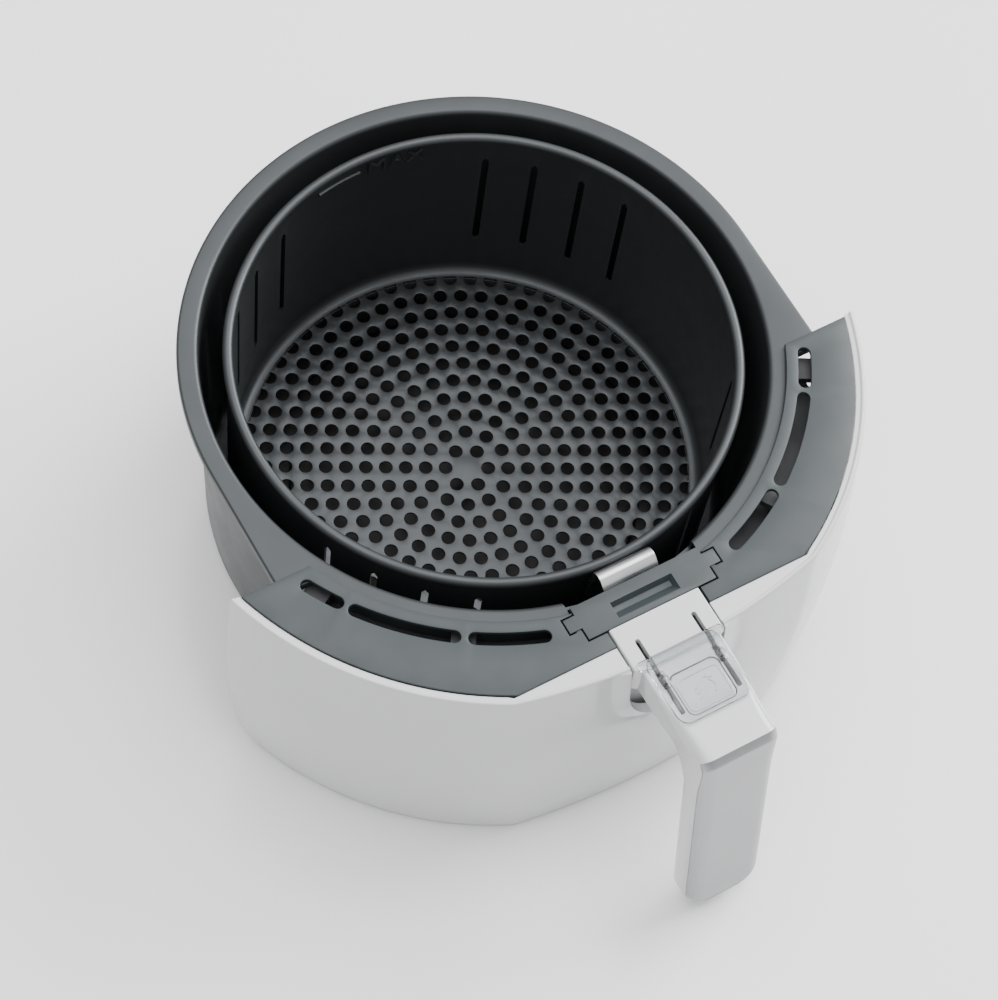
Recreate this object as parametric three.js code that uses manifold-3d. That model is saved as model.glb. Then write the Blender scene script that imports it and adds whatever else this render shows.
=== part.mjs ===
// Drawer of a hot-air deep fryer: a pan, a basket that lifts out of it, and a front panel with a handle.
// Millimetres, +Z up. The handle points along -Y, and +X is on the right of someone who faces the back.
// The origin is the centre of the pan's flat underside, on the axis of the pan and the basket.

import * as THREE from "three";
import { mergeGeometries, mergeVertices } from "three/addons/utils/BufferGeometryUtils.js";
import Module from "manifold-3d";

const wasm = await Module();
wasm.setup();

// ---- Driving dimensions ----

const GAP = 0.3; // between pieces that touch
const SLIP = 0.5; // between pieces that slide past each other
const ROUND_SIDES = 48; // sides of the pan, the basket and other large rings
const SMALL_SIDES = 12; // sides of posts, screws and pins

// Overall
const DECK_TOP_Z = 110;
const PAN_MOUTH_R = 106.8;

// Pan
const PAN_SHEET = 1.2;
const PAN_DRAFT = 3.6; // how much narrower the pan is at its floor
const PAN_CORNER_R = 5;
const FLANGE_WIDTH = 8.2;
const FLANGE_LIP = 3.4; // height of the turned-down edge
const EAR_LENGTH = 55; // how far the flange's straight sides reach towards the handle
const FLOOR_RIB_R = 74;
const FLOOR_RIB_WIDTH = 6;
const FLOOR_RIB_HEIGHT = 0.8;

// Basket
const BASKET_GAP = 8.8; // from the pan's mouth to the basket's rim
const BASKET_SHEET = 1.2;
const BASKET_BEAD = 4; // diameter of the rolled rim
const BASKET_DRAFT = 0.7;
const BASKET_CORNER_R = 2.8;
const BASKET_DROP = 2.1; // from the deck's top to the basket's rim
const BASKET_FLOOR_Z = 14;
const HOLE_RINGS = 11;
const HOLE_FIRST_R = 8.56;
const HOLE_SIDE = 4.8;
const HOLE_EDGE = 3.34; // from the last ring's holes to the wall
const HOLE_TURN = 2.4; // degrees, the pattern's turn from the handle's axis
const WALL_SLOT_WIDTH = 1.6;
const WALL_SLOT_LOW = 22; // above the basket's floor
const WALL_SLOT_HIGH = 13; // below the basket's rim
const WALL_SLOT_STEP = 11.75; // degrees
const WALL_SLOT_TURN = -3; // degrees
const MARK_HEIGHT = 7.2;
const MARK_DROP = 4.4; // from the rim to the top of the letters
const MARK_STROKE = 0.8;
const MARK_RELIEF = 0.35;

// Deck
const DECK_PLATE = 2;
const DECK_OVERLAP = 2; // how far the deck covers the flange
const DECK_REAR_Y = -50;
const VENT_OFFSET = 7; // from the deck's inner edge to the middle of the vents
const VENT_WIDTH = 4.8;
const VENT_ANGLES = [[19.5, 31.5], [35, 52.5], [55.8, 61.8]]; // degrees from the handle's axis
const POST_R = 3.2;
const TAB_ANGLE = 33.3;
const TAB_WIDTH = 9;

// Fascia
const FASCIA_WALL = 3.5;
const LIP_THICK = 2.5; // of the front lip
const FASCIA_BOTTOM_Z = 1.2;
const WING_CLEARANCE = 32.2; // from the pan's mouth to the wings' radius
const WING_CENTRE_TOP = 7.5; // how far the wings' centre sits towards the handle
const WING_CENTRE_BOTTOM = 13.5;
const WING_TAPER = 3;
const WING_BULGE = 3.5;
const CORNER_X_TOP = 63.2;
const CORNER_X_BOTTOM = 56.2;
const PANEL_BOW_TOP = 8;
const PANEL_BOW_BOTTOM = 4.8;
const REAR_LEAN = 5.5;
const REAR_CORNER_R = 11;
const NOTCH_DEPTH = 39;
const NOTCH_ROUND = 22;

// Frame behind the fascia
const FRAME_CLEARANCE = 3.5; // from the pan's wall to the frame
const FRAME_WALL = 2.4;
const FRAME_BOTTOM_Z = 6;
const LUG_THICK = 3;
const SHELF_Z = 92; // underside of the shelf that closes the space under the vents
const SHELF_PLATE = 2.2;
const SHELF_ANGLE = 14; // where the shelf begins, from the handle's axis
const SHELF_REACH = 10; // past the vents' outer edge
const SADDLE_HALF = 17;
const SADDLE_WALL = 2.2;
const SADDLE_DEPTH = 33;

// Bridge and strap
const BRIDGE_HALF = 26.8;
const BRIDGE_LENGTH = 14;
const BRIDGE_DEPTH = 8;
const BRIDGE_WALL = 2;
const BRIDGE_TAB = 4.9;
const BRIDGE_TAB_LENGTH = 5.8;
const BRIDGE_TAB_SETBACK = 3.2;
const POCKET_HALF = 12.8;
const POCKET_LENGTH = 6.4;
const POCKET_DEPTH = 3;
const POCKET_WALL = 1.2;
const STRAP_HALF = 11.6;
const STRAP_SHEET = 1.5;
const STRAP_LEG = 42; // length of the strap's leg on the basket's wall
const TONGUE_HALF = 9;

// Neck and grip
const SHOULDER_STEP = 2.4; // how much wider the neck is behind its shoulder
const NECK_HALF = 16.4;
const NECK_PLATE = 3;
const NECK_WALL = 2.4;
const NECK_DEPTH = 15;
const SHOULDER_FROM_BACK = 17.8;
const NECK_LENGTH = 60; // from the neck's back edge to the crest of the grip
const UNDERPLATE = 1.8;
const GRIP_BOTTOM_Z = 6;
const GRIP_THICK = 15.2;
const GRIP_LEAN = 0.161; // forward travel for each millimetre down
const INSERT_THICK = 3;
const INSERT_MARGIN = 1.6;

// Button, guard and latch
const BUTTON_LENGTH = 16.8;
const BUTTON_SETBACK = 25.6; // from the neck's back edge to the button
const BUTTON_TRAVEL = 2.5;
const BUTTON_RIM = 2;
const SLOT_FROM_WALL = 1.2; // between the neck's side wall and the slots
const BUTTON_FROM_SLOT = 1;
const SLOT_WIDTH = 2;
const SLOT_SETBACK = 7.4;
const SLOT_LENGTH = 32.7;
const GUARD_INSET = 1.4; // from the neck's side to the guard's
const GUARD_PLATE = 1.5;
const GUARD_LENGTH = 28.4;
const GUARD_BAR = 3.6;
const GUARD_TRAVEL = 17;
const LEG_LENGTH = 2.6;
const PIN_R = 1.5;
const PIN_PLAY = 0.1;
const LEVER_ARM = 21; // from the pivot to the button's feet
const LEVER_SHARE = 5 / 7; // the lever's width as a share of the button's
const SPRING_SHARE = 3 / 7; // the spring's radius as a share of the lever's half width
const LEVER_SHEET = 2.4;
const LEVER_HUB_R = 2.6;
const KEEPER_SHEET = 1.5;
const KEEPER_HALF = 9;
const NOSE_CLEARANCE = 0.4;
const SPRING_WIRE = 0.5;
const SPRING_TURNS = 4;

// Screws and rivets
const SHANK_R = 1.5;
const PILOT_R = 1.8;
const HEAD_R = 2.8;
const HEAD_THICK = 1.9;
const BOSS_R = 4;
const RIVET_R = 1.6;
const RIVET_HEAD_R = 3.4;
const RIVET_HEAD = 0.9;

// ---- Dimensions that follow ----

const NECK_HALF_BACK = NECK_HALF + SHOULDER_STEP;
const SLOT_X = NECK_HALF - NECK_WALL - SLOT_FROM_WALL - SLOT_WIDTH / 2;
const BUTTON_HALF = SLOT_X - SLOT_WIDTH / 2 - BUTTON_FROM_SLOT;
const GUARD_HALF = NECK_HALF - GUARD_INSET;
const LEVER_HALF = BUTTON_HALF * LEVER_SHARE;
const SPRING_R = LEVER_HALF * SPRING_SHARE;
const UNDERPLATE_SCREW_X = NECK_HALF - NECK_WALL - BOSS_R - 2;

const FLANGE_TOP_Z = DECK_TOP_Z - DECK_PLATE - GAP;
const FLANGE_R = PAN_MOUTH_R + FLANGE_WIDTH;
const LIP_BOTTOM_Z = FLANGE_TOP_Z - FLANGE_LIP;
const PAN_OUTER_R = PAN_MOUTH_R + PAN_SHEET;
const BASKET_RIM_R = PAN_MOUTH_R - BASKET_GAP;
const BASKET_RIM_Z = DECK_TOP_Z - BASKET_DROP;
const BASKET_IN_R = BASKET_RIM_R - BASKET_BEAD * 0.75; // inside, under the rim
const BASKET_FLOOR_R = BASKET_IN_R - BASKET_DRAFT; // inside, at the floor
const HOLE_LAST_R = BASKET_FLOOR_R - HOLE_EDGE - HOLE_SIDE / 2;
const HOLE_PITCH = (HOLE_LAST_R - HOLE_FIRST_R) / (HOLE_RINGS - 1);
const DECK_IN_R = FLANGE_R - DECK_OVERLAP;
const VENT_R = DECK_IN_R + VENT_OFFSET;
const POST_CIRCLE_R = VENT_R + VENT_WIDTH / 2 + POST_R + 1;
const EAR_POST_X = FLANGE_R - PAN_SHEET - POST_R - 2 * GAP;
const EAR_POST_ANGLE = deg(Math.asin(EAR_POST_X / POST_CIRCLE_R));
const FRAME_ANGLE = EAR_POST_ANGLE + 3; // degrees to each side of the handle's axis
const POST_ANGLES = [-EAR_POST_ANGLE, -TAB_ANGLE, TAB_ANGLE, EAR_POST_ANGLE];
const POST_BOTTOM_Z = LIP_BOTTOM_Z - GAP;
const LUG_TOP_Z = POST_BOTTOM_Z - GAP;
const LUG_BOTTOM_Z = LUG_TOP_Z - LUG_THICK;
const WING_R = PAN_MOUTH_R + WING_CLEARANCE;
const FRAME_IN_R = PAN_OUTER_R + FRAME_CLEARANCE;
const FRAME_OUT_R = FRAME_IN_R + FRAME_WALL;
const BRIDGE_BACK_Y = -(PAN_MOUTH_R + 0.8);
const BRIDGE_FRONT_Y = BRIDGE_BACK_Y - BRIDGE_LENGTH;
const BRIDGE_BOTTOM_Z = DECK_TOP_Z - BRIDGE_DEPTH;
const NECK_BACK_Y = BRIDGE_FRONT_Y - GAP;
const SHOULDER_Y = NECK_BACK_Y - SHOULDER_FROM_BACK;
const NECK_UNDER_Z = DECK_TOP_Z - NECK_DEPTH;
const PLATE_UNDER_Z = DECK_TOP_Z - NECK_PLATE;
const CREST_Y = NECK_BACK_Y - NECK_LENGTH;
const STRAP_TOP_Z = DECK_TOP_Z - POCKET_DEPTH - POCKET_WALL - GAP; // under the bridge and in the neck
const STRAP_SCREW_X = 5.5;
const STRAP_SCREW_Y = NECK_BACK_Y - NECK_WALL - HEAD_R - 1;
const LEG_Y = -(BASKET_IN_R + BASKET_SHEET + GAP); // inner face of the strap's leg
const BUTTON_BACK_Y = NECK_BACK_Y - BUTTON_SETBACK;
const BUTTON_FRONT_Y = BUTTON_BACK_Y - BUTTON_LENGTH;
const BUTTON_MID_Y = (BUTTON_BACK_Y + BUTTON_FRONT_Y) / 2;
const PIVOT_Y = BUTTON_MID_Y + LEVER_ARM;
const FLOOR_IN_NECK_Z = NECK_UNDER_Z + UNDERPLATE;
const LEVER_TOP_Z = FLOOR_IN_NECK_Z + LEVER_SHEET + BUTTON_TRAVEL + 0.8;
const PIVOT_Z = LEVER_TOP_Z - LEVER_SHEET + 0.9;
const NOTCH_HALF = NECK_HALF_BACK + 0.8;
const NOTCH_BOTTOM_Z = DECK_TOP_Z - NOTCH_DEPTH;
const SADDLE_TOP_Z = NECK_UNDER_Z - 2;
const SADDLE_BOTTOM_Z = SADDLE_TOP_Z - SADDLE_DEPTH;
const FRONT_EDGE_Y = -(frontY(CORNER_X_TOP - 2, 0) - FASCIA_WALL - 0.2); // the deck's straight front edge

// ---- Materials ----

const material = (color, roughness, metalness = 0) =>
  new THREE.MeshStandardMaterial({ color, roughness, metalness });
const COATED = material(0x2b2d31, 0.45, 0.3);
const DARK_PLASTIC = material(0x565b5f, 0.5);
const FRAME_PLASTIC = material(0x3a3c3f, 0.6);
const WHITE_PLASTIC = material(0xe6e6e8, 0.2);
const SILVER_PLASTIC = material(0xa9aaad, 0.35, 0.4);
const STEEL = material(0xb8bcc0, 0.35, 1);
const CLEAR_PLASTIC = material(0xf2f4f6, 0.1);
CLEAR_PLASTIC.transparent = true;
CLEAR_PLASTIC.opacity = 0.35;

// ---- Small tools ----

function deg(radians) {
  return (radians * 180) / Math.PI;
}

function rad(degrees) {
  return (degrees * Math.PI) / 180;
}

// The point at a radius and an angle from the handle's axis, positive towards +X.
function around(radius, degrees) {
  return [radius * Math.sin(rad(degrees)), -radius * Math.cos(rad(degrees))];
}

function solid(geometry) {
  const plain = geometry.clone();
  plain.deleteAttribute("normal");
  plain.deleteAttribute("uv");
  const merged = mergeVertices(plain, 1e-4);
  return new wasm.Manifold(
    new wasm.Mesh({
      numProp: 3,
      vertProperties: merged.attributes.position.array,
      triVerts: new Uint32Array(merged.index.array),
    }),
  );
}

// One solid from closed geometries that don't touch each other.
function scattered(geometries) {
  return solid(mergeGeometries(geometries.map((g) => (g.index ? g.toNonIndexed() : g))));
}

function join(first, ...others) {
  return others.reduce((sum, next) => sum.add(next), first);
}

function cut(first, ...others) {
  return others.reduce((rest, next) => rest.subtract(next), first);
}

function block(x0, x1, y0, y1, z0, z1) {
  const box = new THREE.BoxGeometry(Math.abs(x1 - x0), Math.abs(y1 - y0), Math.abs(z1 - z0));
  return solid(box.translate((x0 + x1) / 2, (y0 + y1) / 2, (z0 + z1) / 2));
}

function post(radius, x, y, z0, z1, sides = SMALL_SIDES) {
  const cylinder = new THREE.CylinderGeometry(radius, radius, z1 - z0, sides);
  return solid(cylinder.rotateX(Math.PI / 2).translate(x, y, (z0 + z1) / 2));
}

function crossRod(radius, x0, x1, y, z, sides = SMALL_SIDES) {
  const cylinder = new THREE.CylinderGeometry(radius, radius, x1 - x0, sides);
  return solid(cylinder.rotateZ(Math.PI / 2).translate((x0 + x1) / 2, y, z));
}

// A round bar that points away from the axis at an angle, between two radii.
function spoke(radius, degrees, r0, r1, z, sides = SMALL_SIDES) {
  const cylinder = new THREE.CylinderGeometry(radius, radius, r1 - r0, sides);
  cylinder.translate(0, -(r0 + r1) / 2, 0).rotateZ(rad(degrees));
  return solid(cylinder.translate(0, 0, z));
}

// A flat bar that points away from the axis at an angle.
function radialBlock(width, degrees, r0, r1, z0, z1) {
  const box = new THREE.BoxGeometry(width, r1 - r0, z1 - z0);
  box.translate(0, -(r0 + r1) / 2, (z0 + z1) / 2).rotateZ(rad(degrees));
  return solid(box);
}

function plate(shape, z0, z1, curveSegments = 12) {
  const flat = new THREE.ExtrudeGeometry(shape, { depth: z1 - z0, bevelEnabled: false, curveSegments });
  return solid(flat.translate(0, 0, z0));
}

// A side profile of [y, z] points, swept along X.
function sideways(points, x0, x1) {
  const shape = new THREE.Shape(points.map(([y, z]) => new THREE.Vector2(y, z)));
  const swept = new THREE.ExtrudeGeometry(shape, { depth: x1 - x0, bevelEnabled: false });
  const turn = new THREE.Matrix4().set(0, 0, 1, x0, 1, 0, 0, 0, 0, 1, 0, 0, 0, 0, 0, 1);
  return solid(swept.applyMatrix4(turn));
}

// A front outline of [x, z] points, swept along Y.
function frontways(points, y0, y1) {
  const shape = new THREE.Shape(points.map(([x, z]) => new THREE.Vector2(x, z)));
  const swept = new THREE.ExtrudeGeometry(shape, { depth: y1 - y0, bevelEnabled: false });
  const turn = new THREE.Matrix4().set(1, 0, 0, 0, 0, 0, -1, y1, 0, 1, 0, 0, 0, 0, 0, 1);
  return solid(swept.applyMatrix4(turn));
}

// A profile of [radius, z] points, turned about Z.
function turned(points, sides = ROUND_SIDES) {
  const profile = points.map(([r, z]) => new THREE.Vector2(r, z));
  return solid(new THREE.LatheGeometry(profile, sides).rotateX(Math.PI / 2));
}

// Points of an arc about [a, b], both ends included.
function arc(a, b, radius, from, to, steps) {
  return Array.from({ length: steps + 1 }, (_, i) => {
    const turn = rad(from + ((to - from) * i) / steps);
    return [a + radius * Math.cos(turn), b + radius * Math.sin(turn)];
  });
}

// A ring sector between two radii, to each side of the handle's axis.
function sector(r0, r1, from, to, z0, z1, steps) {
  const outer = arc(0, 0, r1, from - 90, to - 90, steps);
  const inner = arc(0, 0, r0, to - 90, from - 90, steps);
  return plate(new THREE.Shape([...outer, ...inner].map(([x, y]) => new THREE.Vector2(x, y))), z0, z1);
}

function roundedBlock(halfX, y0, y1, z0, z1, corner) {
  const shape = new THREE.Shape();
  shape.moveTo(halfX, y0 + corner);
  shape.lineTo(halfX, y1 - corner);
  shape.absarc(halfX - corner, y1 - corner, corner, 0, Math.PI / 2, false);
  shape.absarc(corner - halfX, y1 - corner, corner, Math.PI / 2, Math.PI, false);
  shape.absarc(corner - halfX, y0 + corner, corner, Math.PI, Math.PI * 1.5, false);
  shape.absarc(halfX - corner, y0 + corner, corner, Math.PI * 1.5, Math.PI * 2, false);
  return plate(shape, z0, z1, 4);
}

const model = new THREE.Group();

function piece(name, shape, look) {
  const made = shape.getMesh();
  const geometry = new THREE.BufferGeometry();
  geometry.setAttribute("position", new THREE.BufferAttribute(made.vertProperties.slice(), 3));
  geometry.setIndex(new THREE.BufferAttribute(made.triVerts.slice(), 1));
  const mesh = new THREE.Mesh(geometry.toNonIndexed(), look);
  mesh.geometry.computeVertexNormals();
  mesh.name = name;
  model.add(mesh);
}

// ---- Pan ----

// The flange seen from above: a half circle at the back, straight sides, and a circle at the front.
function flangeOutline(inset) {
  const radius = FLANGE_R - inset;
  const ear = EAR_LENGTH - inset;
  const turn = Math.asin(ear / radius);
  const shape = new THREE.Shape();
  shape.absarc(0, 0, radius, 0, Math.PI, false);
  shape.lineTo(-radius, -ear);
  shape.absarc(0, 0, radius, Math.PI + turn, 2 * Math.PI - turn, false);
  shape.lineTo(radius, -ear);
  return shape;
}

function panBowl() {
  const floorR = PAN_MOUTH_R - PAN_DRAFT;
  const outR = floorR + PAN_SHEET;
  const rim = FLANGE_TOP_Z - PAN_SHEET / 2;
  const half = FLOOR_RIB_WIDTH / 2;
  const rib = (z) => [
    [FLOOR_RIB_R - half - 1, z],
    [FLOOR_RIB_R - half, z + FLOOR_RIB_HEIGHT],
    [FLOOR_RIB_R + half, z + FLOOR_RIB_HEIGHT],
    [FLOOR_RIB_R + half + 1, z],
  ];
  const innerR = PAN_CORNER_R - PAN_SHEET;
  return turned([
    [0, 0],
    ...rib(0),
    ...arc(outR - PAN_CORNER_R, PAN_CORNER_R, PAN_CORNER_R, -90, 0, 4),
    [PAN_OUTER_R, rim],
    [PAN_MOUTH_R, rim],
    ...arc(floorR - innerR, PAN_CORNER_R, innerR, 0, -90, 4),
    ...rib(PAN_SHEET).reverse(),
    [0, PAN_SHEET],
  ]);
}

function pan() {
  const sheet = plate(flangeOutline(0), FLANGE_TOP_Z - PAN_SHEET, FLANGE_TOP_Z, 32);
  const lip = cut(
    plate(flangeOutline(0), LIP_BOTTOM_Z, FLANGE_TOP_Z - PAN_SHEET / 2, 32),
    plate(flangeOutline(PAN_SHEET), LIP_BOTTOM_Z - 1, FLANGE_TOP_Z, 32),
  );
  const tabs = [-TAB_ANGLE, TAB_ANGLE].map((angle) =>
    radialBlock(TAB_WIDTH, angle, PAN_MOUTH_R + 2, POST_CIRCLE_R + POST_R + 1.5,
      FLANGE_TOP_Z - PAN_SHEET, FLANGE_TOP_Z));
  const lipGaps = [-TAB_ANGLE, TAB_ANGLE].map((angle) =>
    radialBlock(TAB_WIDTH, angle, PAN_OUTER_R + 2, FLANGE_R + 2, 0, FLANGE_TOP_Z - PAN_SHEET - 0.1));
  const mouth = post(PAN_MOUTH_R + PAN_SHEET / 2, 0, 0, 0, DECK_TOP_Z, ROUND_SIDES);
  const holes = [-TAB_ANGLE, TAB_ANGLE].map((angle) =>
    post(POST_R + GAP, ...around(POST_CIRCLE_R, angle), LIP_BOTTOM_Z, DECK_TOP_Z));
  const notch = block(-BRIDGE_HALF - SLIP, BRIDGE_HALF + SLIP, BRIDGE_BACK_Y + 20, -FLANGE_R - 5,
    BRIDGE_BOTTOM_Z - SLIP, DECK_TOP_Z);
  const flange = cut(join(cut(lip, ...lipGaps), sheet, ...tabs), mouth, ...holes);
  piece("pan", cut(join(panBowl(), flange), notch), COATED);
}

// ---- Basket ----

function basketShell() {
  const outR = BASKET_FLOOR_R + BASKET_SHEET;
  const outCorner = BASKET_CORNER_R + BASKET_SHEET;
  const floorZ = BASKET_FLOOR_Z - BASKET_SHEET;
  const bead = BASKET_BEAD / 2;
  const beadR = BASKET_RIM_R - bead;
  const beadZ = BASKET_RIM_Z - bead;
  return turned([
    [0, floorZ],
    ...arc(outR - outCorner, floorZ + outCorner, outCorner, -90, 0, 3),
    [BASKET_IN_R + BASKET_SHEET, beadZ - bead],
    ...arc(beadR, beadZ, bead, -30, 180, 6),
    [BASKET_IN_R, beadZ - bead],
    ...arc(BASKET_FLOOR_R - BASKET_CORNER_R, BASKET_FLOOR_Z + BASKET_CORNER_R, BASKET_CORNER_R, 0, -90, 3),
    [0, BASKET_FLOOR_Z],
  ]);
}

// Rings of holes: ring n has 6n holes, and the rings are spread evenly over the floor.
function floorHoles() {
  const holes = [];
  for (let ring = 0; ring < HOLE_RINGS; ring += 1) {
    const count = 6 * (ring + 1);
    for (let i = 0; i < count; i += 1) {
      const hole = new THREE.BoxGeometry(HOLE_SIDE, HOLE_SIDE, 3 * BASKET_SHEET);
      hole.translate(0, -(HOLE_FIRST_R + ring * HOLE_PITCH), BASKET_FLOOR_Z - BASKET_SHEET / 2);
      holes.push(hole.rotateZ(rad(HOLE_TURN + (360 * i) / count)));
    }
  }
  return scattered(holes);
}

function wallSlots() {
  const low = BASKET_FLOOR_Z + WALL_SLOT_LOW;
  const high = BASKET_RIM_Z - WALL_SLOT_HIGH;
  const slots = [];
  for (let group = 0; group < 4; group += 1) {
    for (let i = 0; i < 4; i += 1) {
      const slot = new THREE.BoxGeometry(WALL_SLOT_WIDTH, 6, high - low);
      slot.translate(0, -BASKET_IN_R, (low + high) / 2);
      slots.push(slot.rotateZ(rad(45 + 90 * group + WALL_SLOT_STEP * (i - 1.5) + WALL_SLOT_TURN)));
    }
  }
  return scattered(slots);
}

// One raised stroke of the fill mark, from one [degrees, z] point of the wall to another.
function stroke([a0, z0], [a1, z1]) {
  const radius = BASKET_IN_R - 0.1;
  const from = new THREE.Vector3(...around(radius, a0), z0);
  const to = new THREE.Vector3(...around(radius, a1), z1);
  const bar = new THREE.BoxGeometry(from.distanceTo(to), MARK_STROKE, 2 * MARK_RELIEF);
  const along = to.clone().sub(from).normalize();
  const outward = new THREE.Vector3(...around(1, (a0 + a1) / 2), 0);
  const across = new THREE.Vector3().crossVectors(outward, along).normalize();
  const basis = new THREE.Matrix4().makeBasis(along, across, along.clone().cross(across));
  bar.applyMatrix4(basis.setPosition(from.add(to).multiplyScalar(0.5)));
  return solid(bar);
}

// The fill line and the word MAX, on the wall opposite the handle.
function fillMark() {
  const top = BASKET_RIM_Z - MARK_DROP;
  const low = top - MARK_HEIGHT;
  const middle = (top + low) / 2;
  const letters = [
    [[178.4, low], [178.4, top]], [[178.4, top], [176.5, middle]],
    [[176.5, middle], [174.6, top]], [[174.6, top], [174.6, low]],
    [[172.9, low], [171.4, top]], [[171.4, top], [169.9, low]], [[172.3, middle], [170.5, middle]],
    [[168.6, low], [165, top]], [[168.6, top], [165, low]],
  ];
  const line = [[[181, middle], [184.9, middle]], [[184.7, middle], [188.8, middle]],
    [[188.6, middle], [192.6, middle]]];
  return [...letters, ...line].map(([from, to]) => stroke(from, to));
}

const RIVET_LEVELS = { strap_rivet_upper: 20, strap_rivet_lower: 34 }; // below the basket's rim

function basket() {
  const rivetHoles = Object.values(RIVET_LEVELS).map((drop) =>
    spoke(RIVET_R + GAP, 0, BASKET_IN_R - 8, BASKET_IN_R + 8, BASKET_RIM_Z - drop));
  const shell = join(basketShell(), ...fillMark());
  piece("basket", cut(shell, floorHoles(), wallSlots(), ...rivetHoles), COATED);
}

// ---- Strap ----

const LEG_JOG = 3; // height over which the strap steps out to pass the basket's rim
const ARCH_R = 2.5;
const ARCH_RISE = 0.5; // how far the arch stands above the deck

// One face of the strap as [y, z] points: up the leg, over the arch and along the tongue. Offset 0 is
// the face away from the basket, and an offset of the sheet's thickness is the face towards it.
function strapLine(offset) {
  const legY = LEG_Y - STRAP_SHEET + offset;
  const passY = -(BASKET_RIM_R + SLIP) - STRAP_SHEET + offset;
  const legTop = BASKET_RIM_Z - BASKET_BEAD - LEG_JOG - 1;
  const tongueZ = STRAP_TOP_Z - STRAP_SHEET + offset;
  const archZ = DECK_TOP_Z + ARCH_RISE - STRAP_SHEET - ARCH_R;
  return [
    [legY, legTop - STRAP_LEG],
    [legY, legTop],
    [passY, legTop + LEG_JOG],
    ...arc(passY - offset - ARCH_R, archZ, ARCH_R + offset, 0, 110, 6),
    [BRIDGE_BACK_Y + 0.6, STRAP_TOP_Z - STRAP_SHEET + 1.6 + offset],
    [BRIDGE_BACK_Y - 2.5, tongueZ],
    [STRAP_SCREW_Y - PILOT_R - 2, tongueZ],
  ];
}

function basketStrap() {
  const outline = [...strapLine(0), ...strapLine(STRAP_SHEET).reverse()].reverse();
  const band = sideways(outline, -STRAP_HALF, STRAP_HALF);
  const trims = [-1, 1].map((side) =>
    block(side * TONGUE_HALF, side * 40, NECK_BACK_Y + 2, PIVOT_Y - 20, 0, DECK_TOP_Z + 5));
  const rivetHoles = Object.values(RIVET_LEVELS).map((drop) =>
    spoke(RIVET_R + GAP, 0, -LEG_Y - 5, -LEG_Y + 5, BASKET_RIM_Z - drop));
  const screwHoles = STRAP_SCREWS.map(([x, y]) => post(PILOT_R, x, y, NECK_UNDER_Z, DECK_TOP_Z));
  piece("basket_strap", cut(band, ...trims, ...rivetHoles, ...screwHoles), STEEL);
}

function strapRivets() {
  for (const [name, drop] of Object.entries(RIVET_LEVELS)) {
    const z = BASKET_RIM_Z - drop;
    const inner = BASKET_IN_R - BASKET_DRAFT - GAP;
    const outer = -LEG_Y + STRAP_SHEET + GAP;
    piece(name, join(
      spoke(RIVET_R, 0, inner - RIVET_HEAD / 2, outer + RIVET_HEAD / 2, z),
      spoke(RIVET_HEAD_R, 0, inner - RIVET_HEAD, inner, z),
      spoke(RIVET_HEAD_R, 0, outer, outer + RIVET_HEAD, z),
    ), STEEL);
  }
}

// ---- Bridge ----

// The cross-shaped outline of the bridge, grown by a clearance.
function bridgeOutline(grow) {
  const half = BRIDGE_HALF + grow;
  const tip = BRIDGE_HALF + BRIDGE_TAB + grow;
  const back = BRIDGE_BACK_Y + grow;
  const front = BRIDGE_FRONT_Y - grow;
  const tabBack = BRIDGE_BACK_Y - BRIDGE_TAB_SETBACK + grow;
  const tabFront = BRIDGE_BACK_Y - BRIDGE_TAB_SETBACK - BRIDGE_TAB_LENGTH - grow;
  const right = [
    [half, front], [half, tabFront], [tip, tabFront],
    [tip, tabBack], [half, tabBack], [half, back],
  ];
  const left = right.map(([x, y]) => [-x, y]).reverse();
  return new THREE.Shape([...right, ...left].map(([x, y]) => new THREE.Vector2(x, y)));
}

function bridgeCover() {
  const lid = plate(bridgeOutline(0), DECK_TOP_Z - BRIDGE_WALL, DECK_TOP_Z);
  const body = block(-BRIDGE_HALF, BRIDGE_HALF, BRIDGE_FRONT_Y, BRIDGE_BACK_Y, BRIDGE_BOTTOM_Z, DECK_TOP_Z);
  const hollow = block(1 - BRIDGE_HALF + BRIDGE_WALL, BRIDGE_HALF - BRIDGE_WALL - 1,
    BRIDGE_FRONT_Y - 1, BRIDGE_BACK_Y + 1, BRIDGE_BOTTOM_Z - 1, DECK_TOP_Z - BRIDGE_WALL);
  const pocketY = BRIDGE_BACK_Y - 5;
  const tubHalf = POCKET_HALF + POCKET_WALL;
  const tub = block(-tubHalf, tubHalf, pocketY - POCKET_LENGTH - POCKET_WALL, pocketY + POCKET_WALL,
    DECK_TOP_Z - POCKET_DEPTH - POCKET_WALL, DECK_TOP_Z);
  const floorZ = DECK_TOP_Z - POCKET_DEPTH;
  const pocket = sideways([
    [pocketY, DECK_TOP_Z + 1],
    [pocketY - POCKET_LENGTH, DECK_TOP_Z + 1],
    [pocketY - POCKET_LENGTH, DECK_TOP_Z],
    [pocketY - POCKET_LENGTH * 0.6, floorZ],
    [pocketY - 0.8, floorZ],
  ], -POCKET_HALF, POCKET_HALF);
  piece("bridge_cover", cut(join(cut(body, hollow), lid, tub), pocket), DARK_PLASTIC);
}

// ---- Deck ----

function ventSlot(from, to) {
  const ends = [from, to].map((angle) => post(VENT_WIDTH / 2, ...around(VENT_R, angle), 0, DECK_TOP_Z + 1));
  const half = VENT_WIDTH / 2;
  return join(sector(VENT_R - half, VENT_R + half, from, to, 0, DECK_TOP_Z + 1, 4), ...ends);
}

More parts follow.
